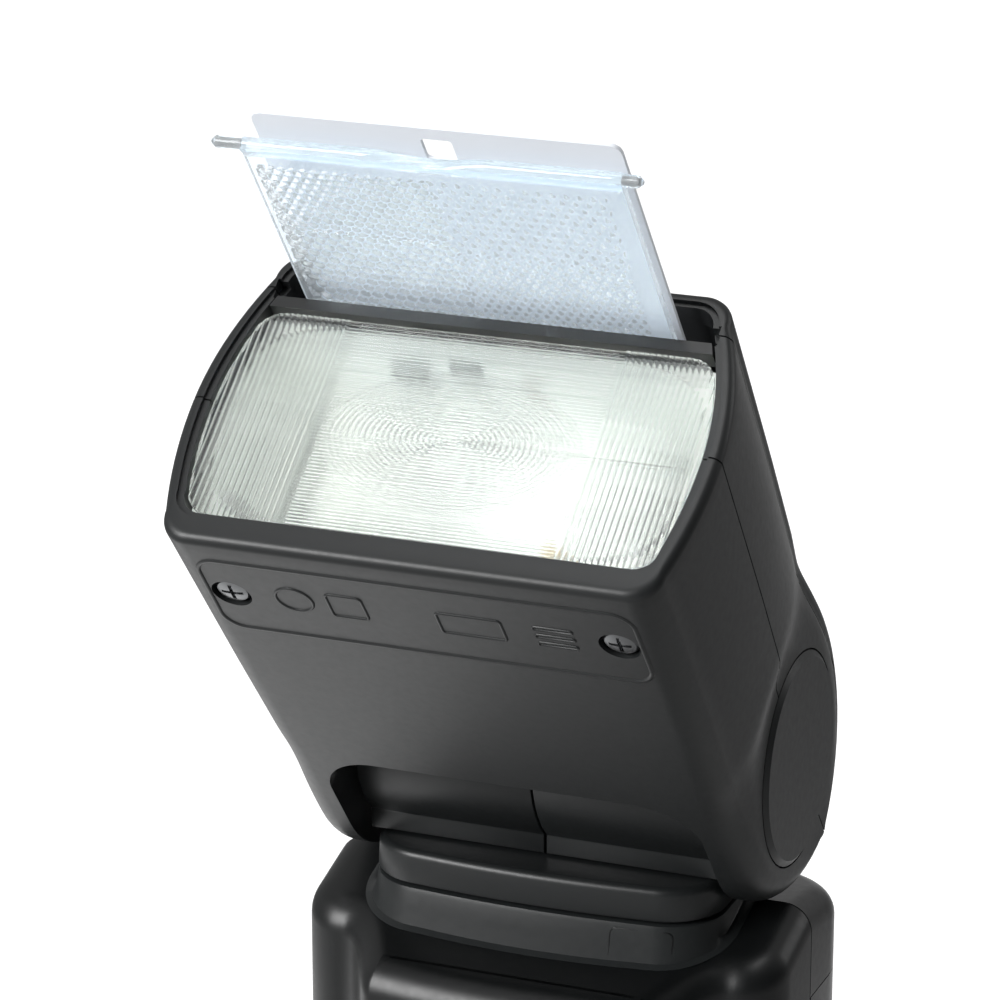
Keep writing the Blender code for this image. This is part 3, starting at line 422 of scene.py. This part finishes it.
def slab(name, columns, rows, point):
    """A closed sheet of columns by rows; point gives the front and back corner at a share of each."""
    corners, faces = [], []
    for side in (0, 1):
        for j in range(rows + 1):
            corners += [Vector(point(i / columns, j / rows)[side]) * MM for i in range(columns + 1)]
    wide = columns + 1
    back = wide * (rows + 1)
    for j in range(rows):
        for i in range(columns):
            a = j * wide + i
            faces.append((a, a + 1, a + wide + 1, a + wide))
            faces.append((back + a, back + a + wide, back + a + wide + 1, back + a + 1))
    last = rows * wide
    for i in range(columns):
        faces.append((i + 1, i, back + i, back + i + 1))
        faces.append((last + i, last + i + 1, back + last + i + 1, back + last + i))
    for j in range(rows):
        a, b = j * wide, j * wide + columns
        faces.append((a, a + wide, back + a + wide, back + a))
        faces.append((b + wide, b, back + b, back + b + wide))
    mesh = bpy.data.meshes.new(name)
    mesh.from_pydata(corners, [], faces)
    made = linked(name, mesh)
    shape = bmesh.new()
    shape.from_mesh(mesh)
    bmesh.ops.recalc_face_normals(shape, faces=shape.faces)
    shape.to_mesh(mesh)
    shape.free()
    return made


def arc(centre, radius, start, end, count):
    angles = [math.radians(start + (end - start) * i / (count - 1)) for i in range(count)]
    return [(centre[0] + radius * math.cos(a), centre[1] + radius * math.sin(a)) for a in angles]


def rounded(half_x, low, high, radius, count=10, middle=0.0):
    right, left = middle + half_x - radius, middle + radius - half_x
    return (arc((right, low + radius), radius, -90, 0, count)
            + arc((right, high - radius), radius, 0, 90, count)
            + arc((left, high - radius), radius, 90, 180, count)
            + arc((left, low + radius), radius, 180, 270, count))


def outward(outline):
    """Each point of a closed outline, with the unit normal to the right of the way round."""
    count = len(outline)
    for i, (x, y) in enumerate(outline):
        before, after = outline[i - 1], outline[(i + 1) % count]
        along = Vector((after[0] - before[0], after[1] - before[1])).normalized()
        yield x, y, Vector((along.y, -along.x))


def ring_solid(name, loops):
    """A closed ring: every loop of points joins the next, and the last one joins the first."""
    shape = bmesh.new()
    rings = [[shape.verts.new(Vector(p) * MM) for p in loop] for loop in loops]
    sides = len(loops[0])
    for a, b in zip(rings, rings[1:] + rings[:1]):
        for i in range(sides):
            j = (i + 1) % sides
            shape.faces.new((a[i], a[j], b[j], b[i]))
    return from_shape(name, shape)


def carve(piece, cutters, keep=()):
    """Cuts every cutter from the piece, keeps only what is inside the keep shapes, and applies it."""
    for cutter, operation in [(c, "DIFFERENCE") for c in cutters] + [(c, "INTERSECT") for c in keep]:
        change = piece.modifiers.new(operation.lower(), "BOOLEAN")
        change.operation = operation
        change.solver = "EXACT"
        change.object = cutter
    graph = bpy.context.evaluated_depsgraph_get()
    solid = bpy.data.meshes.new_from_object(piece.evaluated_get(graph))
    piece.modifiers.clear()
    piece.data = solid


def discard(things):
    for thing in things:
        bpy.data.objects.remove(thing)


def finish_piece(piece, body, material, space=ROW, nodes=(), sharp=30):
    """Shades a piece, puts it in its space and ties it to its CAD body."""
    piece.data.shade_smooth()
    piece.data.set_sharp_from_angle(angle=math.radians(sharp))
    piece.data.materials.clear()
    piece.data.materials.append(MATERIALS[material])
    piece.data.transform(space)
    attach(piece, body)
    if nodes:
        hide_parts(*nodes)
    return piece


# --- head ---

def head_half_width(v):
    for (v0, x0), (v1, x1) in zip(HEAD_WIDTHS, HEAD_WIDTHS[1:]):
        if v <= v1:
            return x0 + (x1 - x0) * (v - v0) / (v1 - v0)
    return HEAD_WIDTHS[-1][1]


def barrel(half, w):
    return half - (BARREL_TOP if w > 0 else BARREL_BOTTOM) * (w / 20) ** 2


def swelling(v, w):
    """How far the side has turned into the flat under the pivot cover: 0 is none, 1 is all."""
    share = max(0.0, min(1.0, (EAR_BLEND - math.hypot(v, w)) / (EAR_BLEND - EAR_FLAT)))
    return share * share * (3 - 2 * share)


def head_ring(half, low, high, corner, inset=0.0, v=HEAD_FRONT):
    """One cross-section at v: flat bottom and top, bowed sides and round corners."""
    low, high = low + inset, high - inset
    corner = min(corner, 0.45 * (high - low))

    def side(w):
        bowed = barrel(half, w)
        return bowed + (EAR_FACE - bowed) * swelling(v, w) - inset

    below, above = low + corner, high - corner
    flat = side(below) - corner
    points = [(flat * i / 6, low) for i in range(6)]
    points += arc((flat, below), corner, -90, 0, 12)
    points += [(side(w), w) for w in (below + (above - below) * i / 20 for i in range(1, 20))]
    points += arc((side(above) - corner, above), corner, 0, 90, 12)
    points += [((side(above) - corner) * i / 6, high) for i in range(5, -1, -1)]
    return points + [(-x, w) for x, w in reversed(points[1:-1])]


def head_heights(v):
    """Lowest and highest w of the head at a station v along the optical axis."""
    if v >= 0:
        share = v / HEAD_FRONT
        return (-REAR_RADIUS + (HEAD_BOTTOM + REAR_RADIUS) * share, REAR_TOP + (HEAD_TOP - REAR_TOP) * share)
    reach = math.sqrt(1 - (v / REAR_RADIUS) ** 2)
    return -REAR_RADIUS * reach, REAR_TOP * reach


def head_loft(name, stations, corner, inset=0.0):
    """The head's outer form, or with an inset its hollow. A station is v and a further inset."""
    rings = []
    for v, extra in stations:
        low, high = head_heights(v)
        ring = head_ring(head_half_width(v), low, high, corner, inset + extra, v)
        rings.append([(x, w, v) for x, w in ring])
    return loft(name, rings)


def opening_outline(inset, low, high, corner):
    return head_ring(HEAD_WIDTHS[-1][1] - inset, low, high, corner)


def build_head_shells():
    rear = [REAR_RADIUS * math.sin(math.radians(a)) for a in range(-84, -5, 6)]
    outer = [(v, 0) for v in (*rear, *range(0, 30, 2), *range(30, 73, 6))]
    outer += [(HEAD_FRONT - RIM_ROUND * (1 - math.sin(a)), RIM_ROUND * (1 - math.cos(a)))
              for a in (math.radians(b) for b in range(0, 91, 15))]
    over = arc((0, 0), SLOT_REACH, 90, 0, 24)
    below, above = -19.0, UPPER_SEAM + 0.1
    gap_side = [(below, -60), (below, SLOT_REACH)] + over + [(above, -1), (above, -60)]
    cutters = [
        head_loft("head_cavity", [(v, 0) for v in (CAVITY_BACK, 43, CAVITY_FRONT)], 3.4, WALL),
        extrusion("head_mouth", opening_outline(RIM_INSET, OPENING_BOTTOM, OPENING_TOP, 3.2),
                  CAVITY_FRONT - 1, HEAD_FRONT + 2),
        extrusion(
            "rim_step", opening_outline(RIM_INSET - 0.9, OPENING_BOTTOM - 0.9, OPENING_TOP + 0.7, 3.9),
            HEAD_FRONT - 0.55, HEAD_FRONT + 2),
        extrusion("ear_gap", gap_side, -SLOT_HALF, SLOT_HALF, "X"),
        extrusion("drum_arch", rounded(SLOT_HALF, -60, SLOT_REACH, 9.0, 24), -60, -18, "Y"),
        box("card_room", (-28.6, 21.1, 12), (28.6, 23.0, CAVITY_BACK + 1)),
        box("bar_seat", (-32.4, 18.35, 73.4), (32.4, 21.25, HEAD_FRONT + 2)),
        rod("axle_bore", 4.4, -50, 50, "X"),
        rod("cover_pocket_left", COVER_RADIUS + 0.25, -60, 0.9 - EAR_FACE, "X", sides=128),
        rod("cover_pocket_right", COVER_RADIUS + 0.25, EAR_FACE - 0.9, 60, "X", sides=128),
    ]
    for side in (-1, 1):
        cutters.append(rod(f"screw_seat_{side}", 2.9, -30, -20.85, "Y", (side * SCREW_X, 0, SCREW_V)))
        cutters.append(rod(f"screw_hole_{side}", 1.6, -22, -15, "Y", (side * SCREW_X, 0, SCREW_V)))
    far = 90
    spans = {
        "head_lower_shell": (-far, LOWER_SEAM - SEAM_GAP),
        "head_middle_band": (LOWER_SEAM + SEAM_GAP, UPPER_SEAM - SEAM_GAP),
        "head_top_shell": (UPPER_SEAM + SEAM_GAP, far),
    }
    for name, (low, high) in spans.items():
        shell = head_loft(f"{name}_look", outer, 4.4)
        span = box("span", (-far, low, -far), (far, high, far))
        carve(shell, cutters, [span])
        discard([span])
        finish_piece(shell, "head", "shell", HEAD, [name])
    discard(cutters)


def lens_half(w, low, high, corner=2.9):
    """Half width of the lens at a height, with its round corners."""
    half = barrel(HEAD_WIDTHS[-1][1] - RIM_INSET - GAP, w)
    depth = max(0.0, corner - min(w - low, high - w))
    return half - corner + math.sqrt(max(0.0, corner ** 2 - depth ** 2))


def build_lens_cover():
    """Upright ribs at both sides and level grooves in the middle."""
    low, high = OPENING_BOTTOM + GAP, LENS_TOP
    front, back = 74.3, 73.7
    rib_zone, rib_pitch, rib_height, rib_steps, steps_per_rib = 20.0, 0.85, 0.24, 108, 6
    groove_pitch, groove_height, across = 0.55, 0.075, 24
    columns, rows = 2 * rib_steps + across, 272

    def cover(i, j):
        w = low + (high - low) * j
        column = i * columns - columns / 2
        if abs(column) <= across / 2:
            x = column / (across / 2) * rib_zone
        else:
            x = math.copysign(rib_zone + (abs(column) - across / 2) * rib_pitch / steps_per_rib, column)
        half = lens_half(w, low, high) * (1 - 0.002 * (1 - abs(2 * i - 1)))
        x = max(-half, min(half, x))
        if abs(x) > rib_zone:
            lift = rib_height * abs(math.sin(math.pi * (abs(x) - rib_zone) / rib_pitch))
        else:
            lift = groove_height * math.sin(2 * math.pi * w / groove_pitch)
        return (x, w, front + lift), (x, w, back)

    plate = slab("front_lens_look", columns, rows, cover)
    finish_piece(plate, "head", "lens", HEAD, ["front_lens"], 60)


def build_ring_plate():
    """Elliptical Fresnel rings on the back of a plate that reaches the rim of the lens."""
    front, back, middle = 73.4, 72.9, -0.6
    rings, stretch, ring_pitch, ring_height = 23, 1.7, 0.5, 0.24
    half_width, half_height, squareness = 33, 16.2, 5
    steps, outer_steps, around = 2 * rings, 6, 192

    def ring_plate(i, j):
        angle = 2 * math.pi * i
        step = round(j * (steps + outer_steps))
        across, up = math.cos(angle), math.sin(angle)
        reach = ring_pitch * min(step, steps) / 2
        x, w = stretch * reach * across, reach * up
        edge = (abs(across) / half_width) ** squareness + (abs(up) / half_height) ** squareness
        edge **= -1 / squareness
        share = max(0, step - steps) / outer_steps
        x, w = x + (edge * across - x) * share, middle + w + (edge * up - w) * share
        rise = ring_height * (1 - min(step, steps) / steps) ** 0.4 * (step % 2)
        return (x, w, front), (x, w, back + (rise if share == 0 else 0))

    disc = slab("lens_ring_plate", around, steps + outer_steps, ring_plate)
    finish_piece(disc, "head", "lens", HEAD, sharp=20)


def build_lining():
    """Pale walls between the lens and the reflector, open at both ends for the zoom."""
    stations = ((71.6, 2.2, -18.0, 16.4), (66.0, 2.1, -19.6, 13.1), (31.8, 3.0, -19.0, 13.1))
    rings = []
    for v, inset, low, high in stations:
        rings.append([(x, w, v) for x, w in head_ring(head_half_width(v) - inset, low, high, 2.5)])
    shape = loft("lens_lining", rings, capped=False)
    thick = shape.modifiers.new("thick", "SOLIDIFY")
    thick.thickness = 0.3 * MM
    thick.offset = 0
    finish_piece(shape, "head", "lining", HEAD)


def build_reflector_clips():
    """Small tabs and a brown bead on the roof of the lining, seen through the lens."""
    roof = 12.9
    clips = (("left", (-14, -8), (66.0, 70.5), "clip"), ("middle", (-5, 0), (69.0, 72.0), "clip"),
             ("bead", (5, 8), (65.0, 68.0), "bead"), ("right", (12, 20), (50.0, 57.0), "clip"))
    for name, (left, right), (back, front), material in clips:
        outline = rounded((right - left) / 2, back, front, 0.6, 5, (left + right) / 2)
        tab = extrusion(f"reflector_clip_{name}", outline, roof - 0.35, roof, "Y")
        finish_piece(tab, "head", material, HEAD)


def panel_relief(x, v):
    """Height of the panel's pattern: bumps on the left, facets on the right, plain rails and lip."""
    left_rail, right_rail, lip, end, rail_height, hump = 1.0, 2.6, 3.2, 0.8, 0.32, 0.42
    if x < left_rail - PANEL_HALF or x > PANEL_HALF - right_rail or v > -lip or v < end - PANEL_LENGTH:
        return rail_height
    if x < -1.0:
        pitch = 1.55 if v > -17 else 1.75
        row_pitch = pitch * 0.8
        row = round(v / row_pitch)
        across = (x + (row % 2) * pitch / 2) / pitch
        dome = math.hypot((across - round(across)) * pitch, v - row * row_pitch) / (pitch / 2)
        return hump * max(0.0, 1 - dome * dome)
    pitch = 1.9 if v > -19 else 1.5
    across, along = (x / pitch + v / (pitch * 1.5)), (x / pitch - v / (pitch * 1.5))
    facet = max(abs(across - round(across)), abs(along - round(along)))
    return hump * (1 - 2 * facet)


def build_panel():
    """Wide panel's patterned sheet."""
    low, high = PANEL_LOW + 0.3, PANEL_HIGH - 0.25
    columns, rows = 270, 176

    def point(i, j):
        x, v = (2 * i - 1) * PANEL_HALF, -PANEL_LENGTH * (1 - j)
        return (PANEL_X + x, low - panel_relief(x, v), PANEL_V + v), (PANEL_X + x, high, PANEL_V + v)

    sheet = slab("wide_panel_look", columns, rows, point)
    finish_piece(sheet, "wide_panel", "panel", HEAD, ["wide_panel"], 50)


def build_panel_lip():
    """Thick bar along the panel's end, thinner at a finger notch, with a nub at each end."""
    middle = (PANEL_LOW + PANEL_HIGH) / 2
    notch_half, steps, sides = 9.5, 90, 24
    rings = []
    for i in range(steps + 1):
        x = BAR_LEFT + (BAR_RIGHT - BAR_LEFT) * i / steps
        end = min(1.0, min(x - BAR_LEFT, BAR_RIGHT - x) / 0.5 + 0.35)
        notch = max(0.0, math.cos(min(abs(x) / notch_half, 1.0) * math.pi / 2)) ** 2
        nub = abs(x) > PANEL_HALF
        tall = (0.85 if nub else 1.15) * end
        deep = (0.9 if nub else 1.5 - 0.7 * notch) * end
        along = 0.15 if nub else -0.35 - 0.5 * notch
        ring = [(PANEL_X + x, middle + tall * math.cos(a), PANEL_V + along + deep * math.sin(a))
                for a in (2 * math.pi * k / sides for k in range(sides))]
        rings.append(ring)
    finish_piece(loft("wide_panel_lip", rings), "wide_panel", "panel", HEAD)
    for name, start, end in (("left", BAR_LEFT + 0.6, -PANEL_HALF), ("right", PANEL_HALF, BAR_RIGHT - 0.6)):
        core = rod(f"wide_panel_core_{name}", 0.42, PANEL_X + start, PANEL_X + end, "X",
                   (0, middle, PANEL_V + 0.15), sides)
        finish_piece(core, "wide_panel", "nub", HEAD)


def ridge(name, outline, width, height):
    """A raised line that follows a closed outline of x and v on the head's underside."""
    section = ((-0.5, -0.1), (-0.3, 0.7), (0, 1.0), (0.3, 0.7), (0.5, -0.1))
    loops = []
    for x, v, out in outward(outline):
        loop = []
        for share, lift in section:
            px, pv = x + out.x * width * share, v + out.y * width * share
            loop.append((px, head_heights(pv)[0] - height * lift, pv))
        loops.append(loop)
    finish_piece(ring_solid(name, loops), "head", "shell", HEAD, sharp=60)


def build_label():
    """Raised frame round the screws, with plain generic embossing inside it."""
    ridge("label_frame", rounded(31.3, 54.2, 70.8, 3.2, 12), 0.75, 0.22)
    ridge("label_ring", arc((-18.5, 63.4), 2.7, 0, 348, 30), 0.5, 0.2)
    ridge("label_square", rounded(2.6, 60.7, 65.9, 0.6, 6, -10.8), 0.5, 0.2)
    ridge("label_plate", rounded(4.6, 60.2, 65.0, 0.5, 6, 7.0), 0.5, 0.2)
    for k in range(3):
        ridge(f"label_bar_{k}", rounded(2.8, 60.4 + 1.9 * k, 61.1 + 1.9 * k, 0.3, 5, 19.0), 0.35, 0.2)


# --- turret ---

def oval(inset=0.0):
    half, depth, corner = OVAL_HALF - inset, OVAL_DEPTH - inset, OVAL_CORNER - inset
    quarter = [(half, 0)] + arc((half - corner, depth - OVAL_BOW - corner), corner, 0, 84, 20)
    flat = half - corner
    front = (flat * (1 - i / 12) for i in range(1, 12))
    quarter += [(x, depth - OVAL_BOW * (x / flat) ** 2) for x in front]
    quarter += [(0, depth)]
    rear = quarter + [(-x, y) for x, y in reversed(quarter[:-1])]
    return rear + [(x, -y) for x, y in reversed(rear[1:-1])]


def body_top(y):
    return BODY_TOP + (SLOPE_REAR if y > 0 else SLOPE_FRONT) * y


def build_turret():
    levels = [(PLATE_BOTTOM, 0.5), (PLATE_BOTTOM + 0.15, 0.15), (PLATE_BOTTOM + 0.5, 0.0)]
    levels += [(PLATE_TOP - 1.2 + 1.2 * math.sin(a), 0.15 + 1.2 * (1 - math.cos(a)))
               for a in (math.radians(b) for b in range(0, 91, 15))]
    rings = [[(x, y, z) for x, y in oval(inset)] for z, inset in levels]
    plate = loft("turret_plate_look", rings)
    wire = rod("wire_way", 5.5, PLATE_BOTTOM - 5, PLATE_TOP + 5)
    carve(plate, [wire])
    discard([wire])
    finish_piece(plate, "turret", "drum", ROW, ["turret_plate"])

    levels = (("base", 2.0), (COLLAR_TOP - 6.5, 1.1), (COLLAR_TOP - 3.0, 0.5), (COLLAR_TOP - 0.8, 0.1),
              (COLLAR_TOP - 0.2, -0.1), (COLLAR_TOP, -0.5))
    rings = []
    for k, (z, flare) in enumerate(levels):
        lowest = GAP + 0.03 * k
        rings.append([(x, y, body_top(y) + 0.05 if z == "base" else max(z, body_top(y) + lowest))
                      for x, y in oval(-flare)])
    collar = loft("turret_collar_look", rings, fold=(0, len(rings[0]) // 2))
    bore = rod("collar_bore", 12.9, 60, 120)
    carve(collar, [bore])
    discard([bore])
    finish_piece(collar, "body", "collar", ROW, ["turret_collar"])


def collar_front(x, z):
    """Where the collar's front face is, at x and z."""
    share = max(0.0, min(1.0, (COLLAR_TOP - 0.8 - z) / 5.7))
    flare = 0.1 + share
    corner, depth, flat = OVAL_CORNER + flare, OVAL_DEPTH + flare, OVAL_HALF - OVAL_CORNER
    if x < flat:
        return -(depth - OVAL_BOW * (x / flat) ** 2)
    return -(depth - OVAL_BOW - corner + math.sqrt(corner ** 2 - (x - flat) ** 2))


def build_inlay():
    """Thin raised outline of the flush inlay at the right of the collar's front."""
    section, width = ((-0.5, -0.1), (-0.2, 0.1), (0.2, 0.1), (0.5, -0.1)), 0.3
    loops = []
    for x, z, out in outward(rounded(4.6, COLLAR_TOP - 7.2, COLLAR_TOP - 1.0, 0.9, 6, 17.2)):
        loop = []
        for share, lift in section:
            px, pz = x + out.x * width * share, z + out.y * width * share
            loop.append((px, collar_front(px, pz) - lift, pz))
        loops.append(loop)
    finish_piece(ring_solid("collar_inlay_line", loops), "body", "body", sharp=60)


# --- body ---

def bezier(start, pull_start, pull_end, end, count):
    points = []
    for i in range(1, count):
        t = i / count
        weights = ((1 - t) ** 3, 3 * t * (1 - t) ** 2, 3 * t * t * (1 - t), t ** 3)
        parts = list(zip(weights, (start, pull_start, pull_end, end)))
        points.append((sum(k * p[0] for k, p in parts), sum(k * p[1] for k, p in parts)))
    return points


def body_outline():
    """Plan of the body from the right end of the seam, round the back and then the front."""
    centre = (BODY_HALF - REAR_CORNER, BODY_REAR - REAR_CORNER)
    rear = [(BODY_HALF, 0), (BODY_HALF, 5)] + arc(centre, REAR_CORNER, 0, 90, 26)
    rear += [(12, BODY_REAR), (0, BODY_REAR)]
    cheek, panel = (BODY_HALF - 7, -16.5), (20.5, BODY_FRONT + 1.1)
    front = [(BODY_HALF, 0)] + arc((BODY_HALF - 7, -9.5), 7, 0, -90, 20)
    front += bezier(cheek, (25.5, -16.8), (23.8, panel[1] + 0.3), panel, 24) + [panel]
    front += [(x, BODY_FRONT + 1.1 * (x / 20.5) ** 2) for x in (16, 12, 8, 4)] + [(0, BODY_FRONT)]
    back = rear + [(-x, y) for x, y in reversed(rear[:-1])]
    face = [(-x, y) for x, y in front[1:]] + list(reversed(front[1:-1]))
    return back + face, len(back) - 1


def shrink(outline, inset):
    return [(x - out.x * inset, y - out.y * inset) for x, y, out in outward(outline)]


def body_form(name, wall):
    """The whole body, or its hollow if a wall is given."""
    outline, left = body_outline()
    rings = []
    angles = [math.radians(degrees) for degrees in range(0, 91, 15)]
    floor = [(2.4 * (1 - math.cos(a)), 2.2 * (1 - math.sin(a))) for a in angles]
    for lift, inset in floor if not wall else ((0, 0),):
        rings.append([(x, y, BODY_BOTTOM + wall + lift) for x, y in shrink(outline, inset + wall)])
    for angle in range(0, 91, 10):
        inset = BODY_EDGE * (1 - math.cos(math.radians(angle)))
        drop = BODY_EDGE * (1 - math.sin(math.radians(angle)))
        rings.append([(x, y, body_top(y) - drop - wall) for x, y in shrink(outline, inset + wall)])
    return loft(name, rings, fold=(0, left))


def build_body():
    hollow = body_form("body_hollow", WALL)
    hub = rod("hub_hole", HUB_HOLE, 70, 120)
    behind = box("behind_seam", (-80, -SEAM_GAP, -10), (80, 80, 150))
    before = box("before_seam", (-80, -80, -10), (80, SEAM_GAP, 150))
    window_outline = rounded(15.15, 43.85, 66.15, 3.15)
    window = extrusion("window_opening", window_outline, BODY_FRONT - 5, BODY_FRONT + 6, "Y")
    seats = [rod(f"foot_screw_{x}", 2.95, 10, 15.9, "Z", (x, -8, 0)) for x in (-27, 27)]
    front = body_form("front_shell_look", 0)
    carve(front, [hollow, hub, behind, window, *seats])
    finish_piece(front, "body", "body", ROW, ["front_shell"])

    near, far = 18, 30
    display = rounded(24.2, DISPLAY_Z[0] - 0.2, DISPLAY_Z[1] + 0.2, 2.2)
    switch = rounded(5.4, DIAL_Z - 2.2, DIAL_Z + 2.2, 0.6, 6, SWITCH_X + 2.4)
    openings = [
        extrusion("display_opening", display, near, far, "Y"),
        rod("dial_hole", 11.25, near, far, "Y", (0, 0, DIAL_Z), 96),
        rod("pilot_hole", 3.7, near, far, "Y", (PILOT_X, 0, DIAL_Z)),
        extrusion("switch_slot", switch, near, far, "Y"),
        box("hinge_notch", (30, -5, DOOR_Z[0] - 0.6), (50, DOOR_STEP_Y + 0.25, SILL + 5)),
        box("door_opening", (29.4, -5, SILL + 2.2), (50, DOOR_Y[1] + 0.2, DOOR_Z[1] + 0.2)),
        box("jack_opening", (-50, -5, JACK_Z - 9.2), (-30, JACK_Y + 9.5, JACK_Z + 9.2)),
    ]
    for i, x in enumerate(BUTTON_XS):
        openings.append(rod(f"button_hole_{i}", 3.7, near, far, "Y", (x, 0, BUTTON_Z)))
    rear = body_form("rear_shell_look", 0)
    carve(rear, [hollow, hub, before, *openings])
    finish_piece(rear, "body", "body", ROW, ["rear_shell"])
    discard([hollow, hub, behind, before, window, *seats, *openings])


def plate_on_rear(name, outline, lift, material, depth):
    """A thin shape on the body's back; outline is in x and z, and lift is how far it stands out."""
    piece = extrusion(name, outline, BODY_REAR + lift - depth, BODY_REAR + lift, "Y")
    finish_piece(piece, "body", material)


def build_symbols():
    """Generic printed symbols beside the controls."""
    under = BUTTON_Z - 5.6
    mode_x, minus_x, plus_x, light_x = BUTTON_XS
    plus = (
        (0.2, 0.2), (0.2, 1.1), (-0.2, 1.1), (-0.2, 0.2), (-1.1, 0.2), (-1.1, -0.2),
        (-0.2, -0.2), (-0.2, -1.1), (0.2, -1.1), (0.2, -0.2), (1.1, -0.2), (1.1, 0.2),
    )
    outlines = {
        "mark_mode": rounded(1.3, under - 0.5, under + 0.5, 0.4, 6, mode_x),
        "mark_minus": rounded(1.1, under - 0.18, under + 0.18, 0.15, 4, minus_x),
        "mark_plus": [(plus_x + x, under + z) for x, z in plus],
        "mark_light": arc((light_x, under), 0.8, 0, 350, 24),
    }
    for name, outline in outlines.items():
        plate_on_rear(name, outline, 0.06, "ink", 0.12)
    switch_on = rounded(0.2, DIAL_Z + 3.2, DIAL_Z + 4.8, 0.15, 4, SWITCH_X + 4.6)
    plate_on_rear("mark_switch_on", switch_on, -0.2, "ink", 0.5)


def build_display_segments():
    """A row of bars under four digits that show every segment."""
    def segment(name, half, low, high, radius, x):
        outline = rounded(half, low, high, radius, 4, x)
        plate_on_rear(name, outline, 0.26, "segment", 0.05)

    for i in range(10):
        segment(f"display_bar_{i}", 1.5, 66.0, 67.2, 0.3, -19 + 4.2 * i)
    for i, x in enumerate((-14, -8, 2, 8)):
        for k, z in enumerate((70.6, 74.6, 78.6)):
            segment(f"display_digit_{i}_{k}", 1.5, z, z + 0.6, 0.25, x)
        for k, (dx, z) in enumerate(((-1.9, 71.4), (1.9, 71.4), (1.9, 75.4), (-1.9, 75.4))):
            segment(f"display_side_{i}_{k}", 0.3, z, z + 3.0, 0.25, x + dx)


def build_switch_liner():
    """Dark plate that closes the switch's slot from inside."""
    outline = rounded(7.5, DIAL_Z - 4, DIAL_Z + 4, 1.0, 6, SWITCH_X + 2.4)
    liner = extrusion("switch_liner", outline, 19.1, 19.3, "Y")
    finish_piece(liner, "body", "inner")


def build_dial():
    """Knurled ring round the set button.

    Its profile is crest radius, valley radius and how far it stands out of the body's back."""
    inner, steps = 5.4, 180
    profile = ((11.0, 11.0, -2.4), (11.0, 11.0, 0.6), (11.0, 10.7, 0.9), (10.2, 10.0, 1.5), (7.6, 7.6, 1.25),
               (inner + 0.3, inner + 0.3, 1.4), (inner, inner, 1.1), (inner, inner, -2.4))
    loops = []
    for crest, valley, y in profile:
        loop = []
        for k in range(steps):
            angle = 2 * math.pi * k / steps
            radius = crest if k % 5 < 3 else valley
            loop.append((radius * math.cos(angle), BODY_REAR + y, DIAL_Z + radius * math.sin(angle)))
        loops.append(loop)
    dial = ring_solid("select_dial_look", loops)
    finish_piece(dial, "select_dial", "rubber", ROW, ["select_dial"])


def build_lock_ring():
    """Knurled ring over the foot. Its profile is radius, height and depth of the knurl."""
    steps, knurl = 240, 0.45
    profile = ((6.6, 8.0, 0), (14.2, 8.0, 0), (14.8, 7.7, 0), (15.2, 7.1, knurl), (15.2, 5.3, knurl),
               (14.8, 4.7, 0), (14.2, 4.4, 0), (6.6, 4.4, 0))
    loops = []
    for crest, z, depth in profile:
        loop = []
        for k in range(steps):
            angle = 2 * math.pi * k / steps
            radius = crest - (depth if k % 4 > 1 else 0.0)
            loop.append((radius * math.cos(angle), FOOT_Y + radius * math.sin(angle), z))
        loops.append(loop)
    ring = ring_solid("lock_ring_look", loops)
    finish_piece(ring, "lock_ring", "rubber", ROW, ["lock_ring"])


MATERIALS = make_materials()
make_camera()
make_floor()
make_light()
paint_nodes()
build_head_shells()
build_lens_cover()
build_ring_plate()
build_lining()
build_reflector_clips()
build_panel()
build_panel_lip()
build_label()
build_turret()
build_inlay()
build_body()
build_switch_liner()
build_symbols()
build_display_segments()
build_dial()
build_lock_ring()
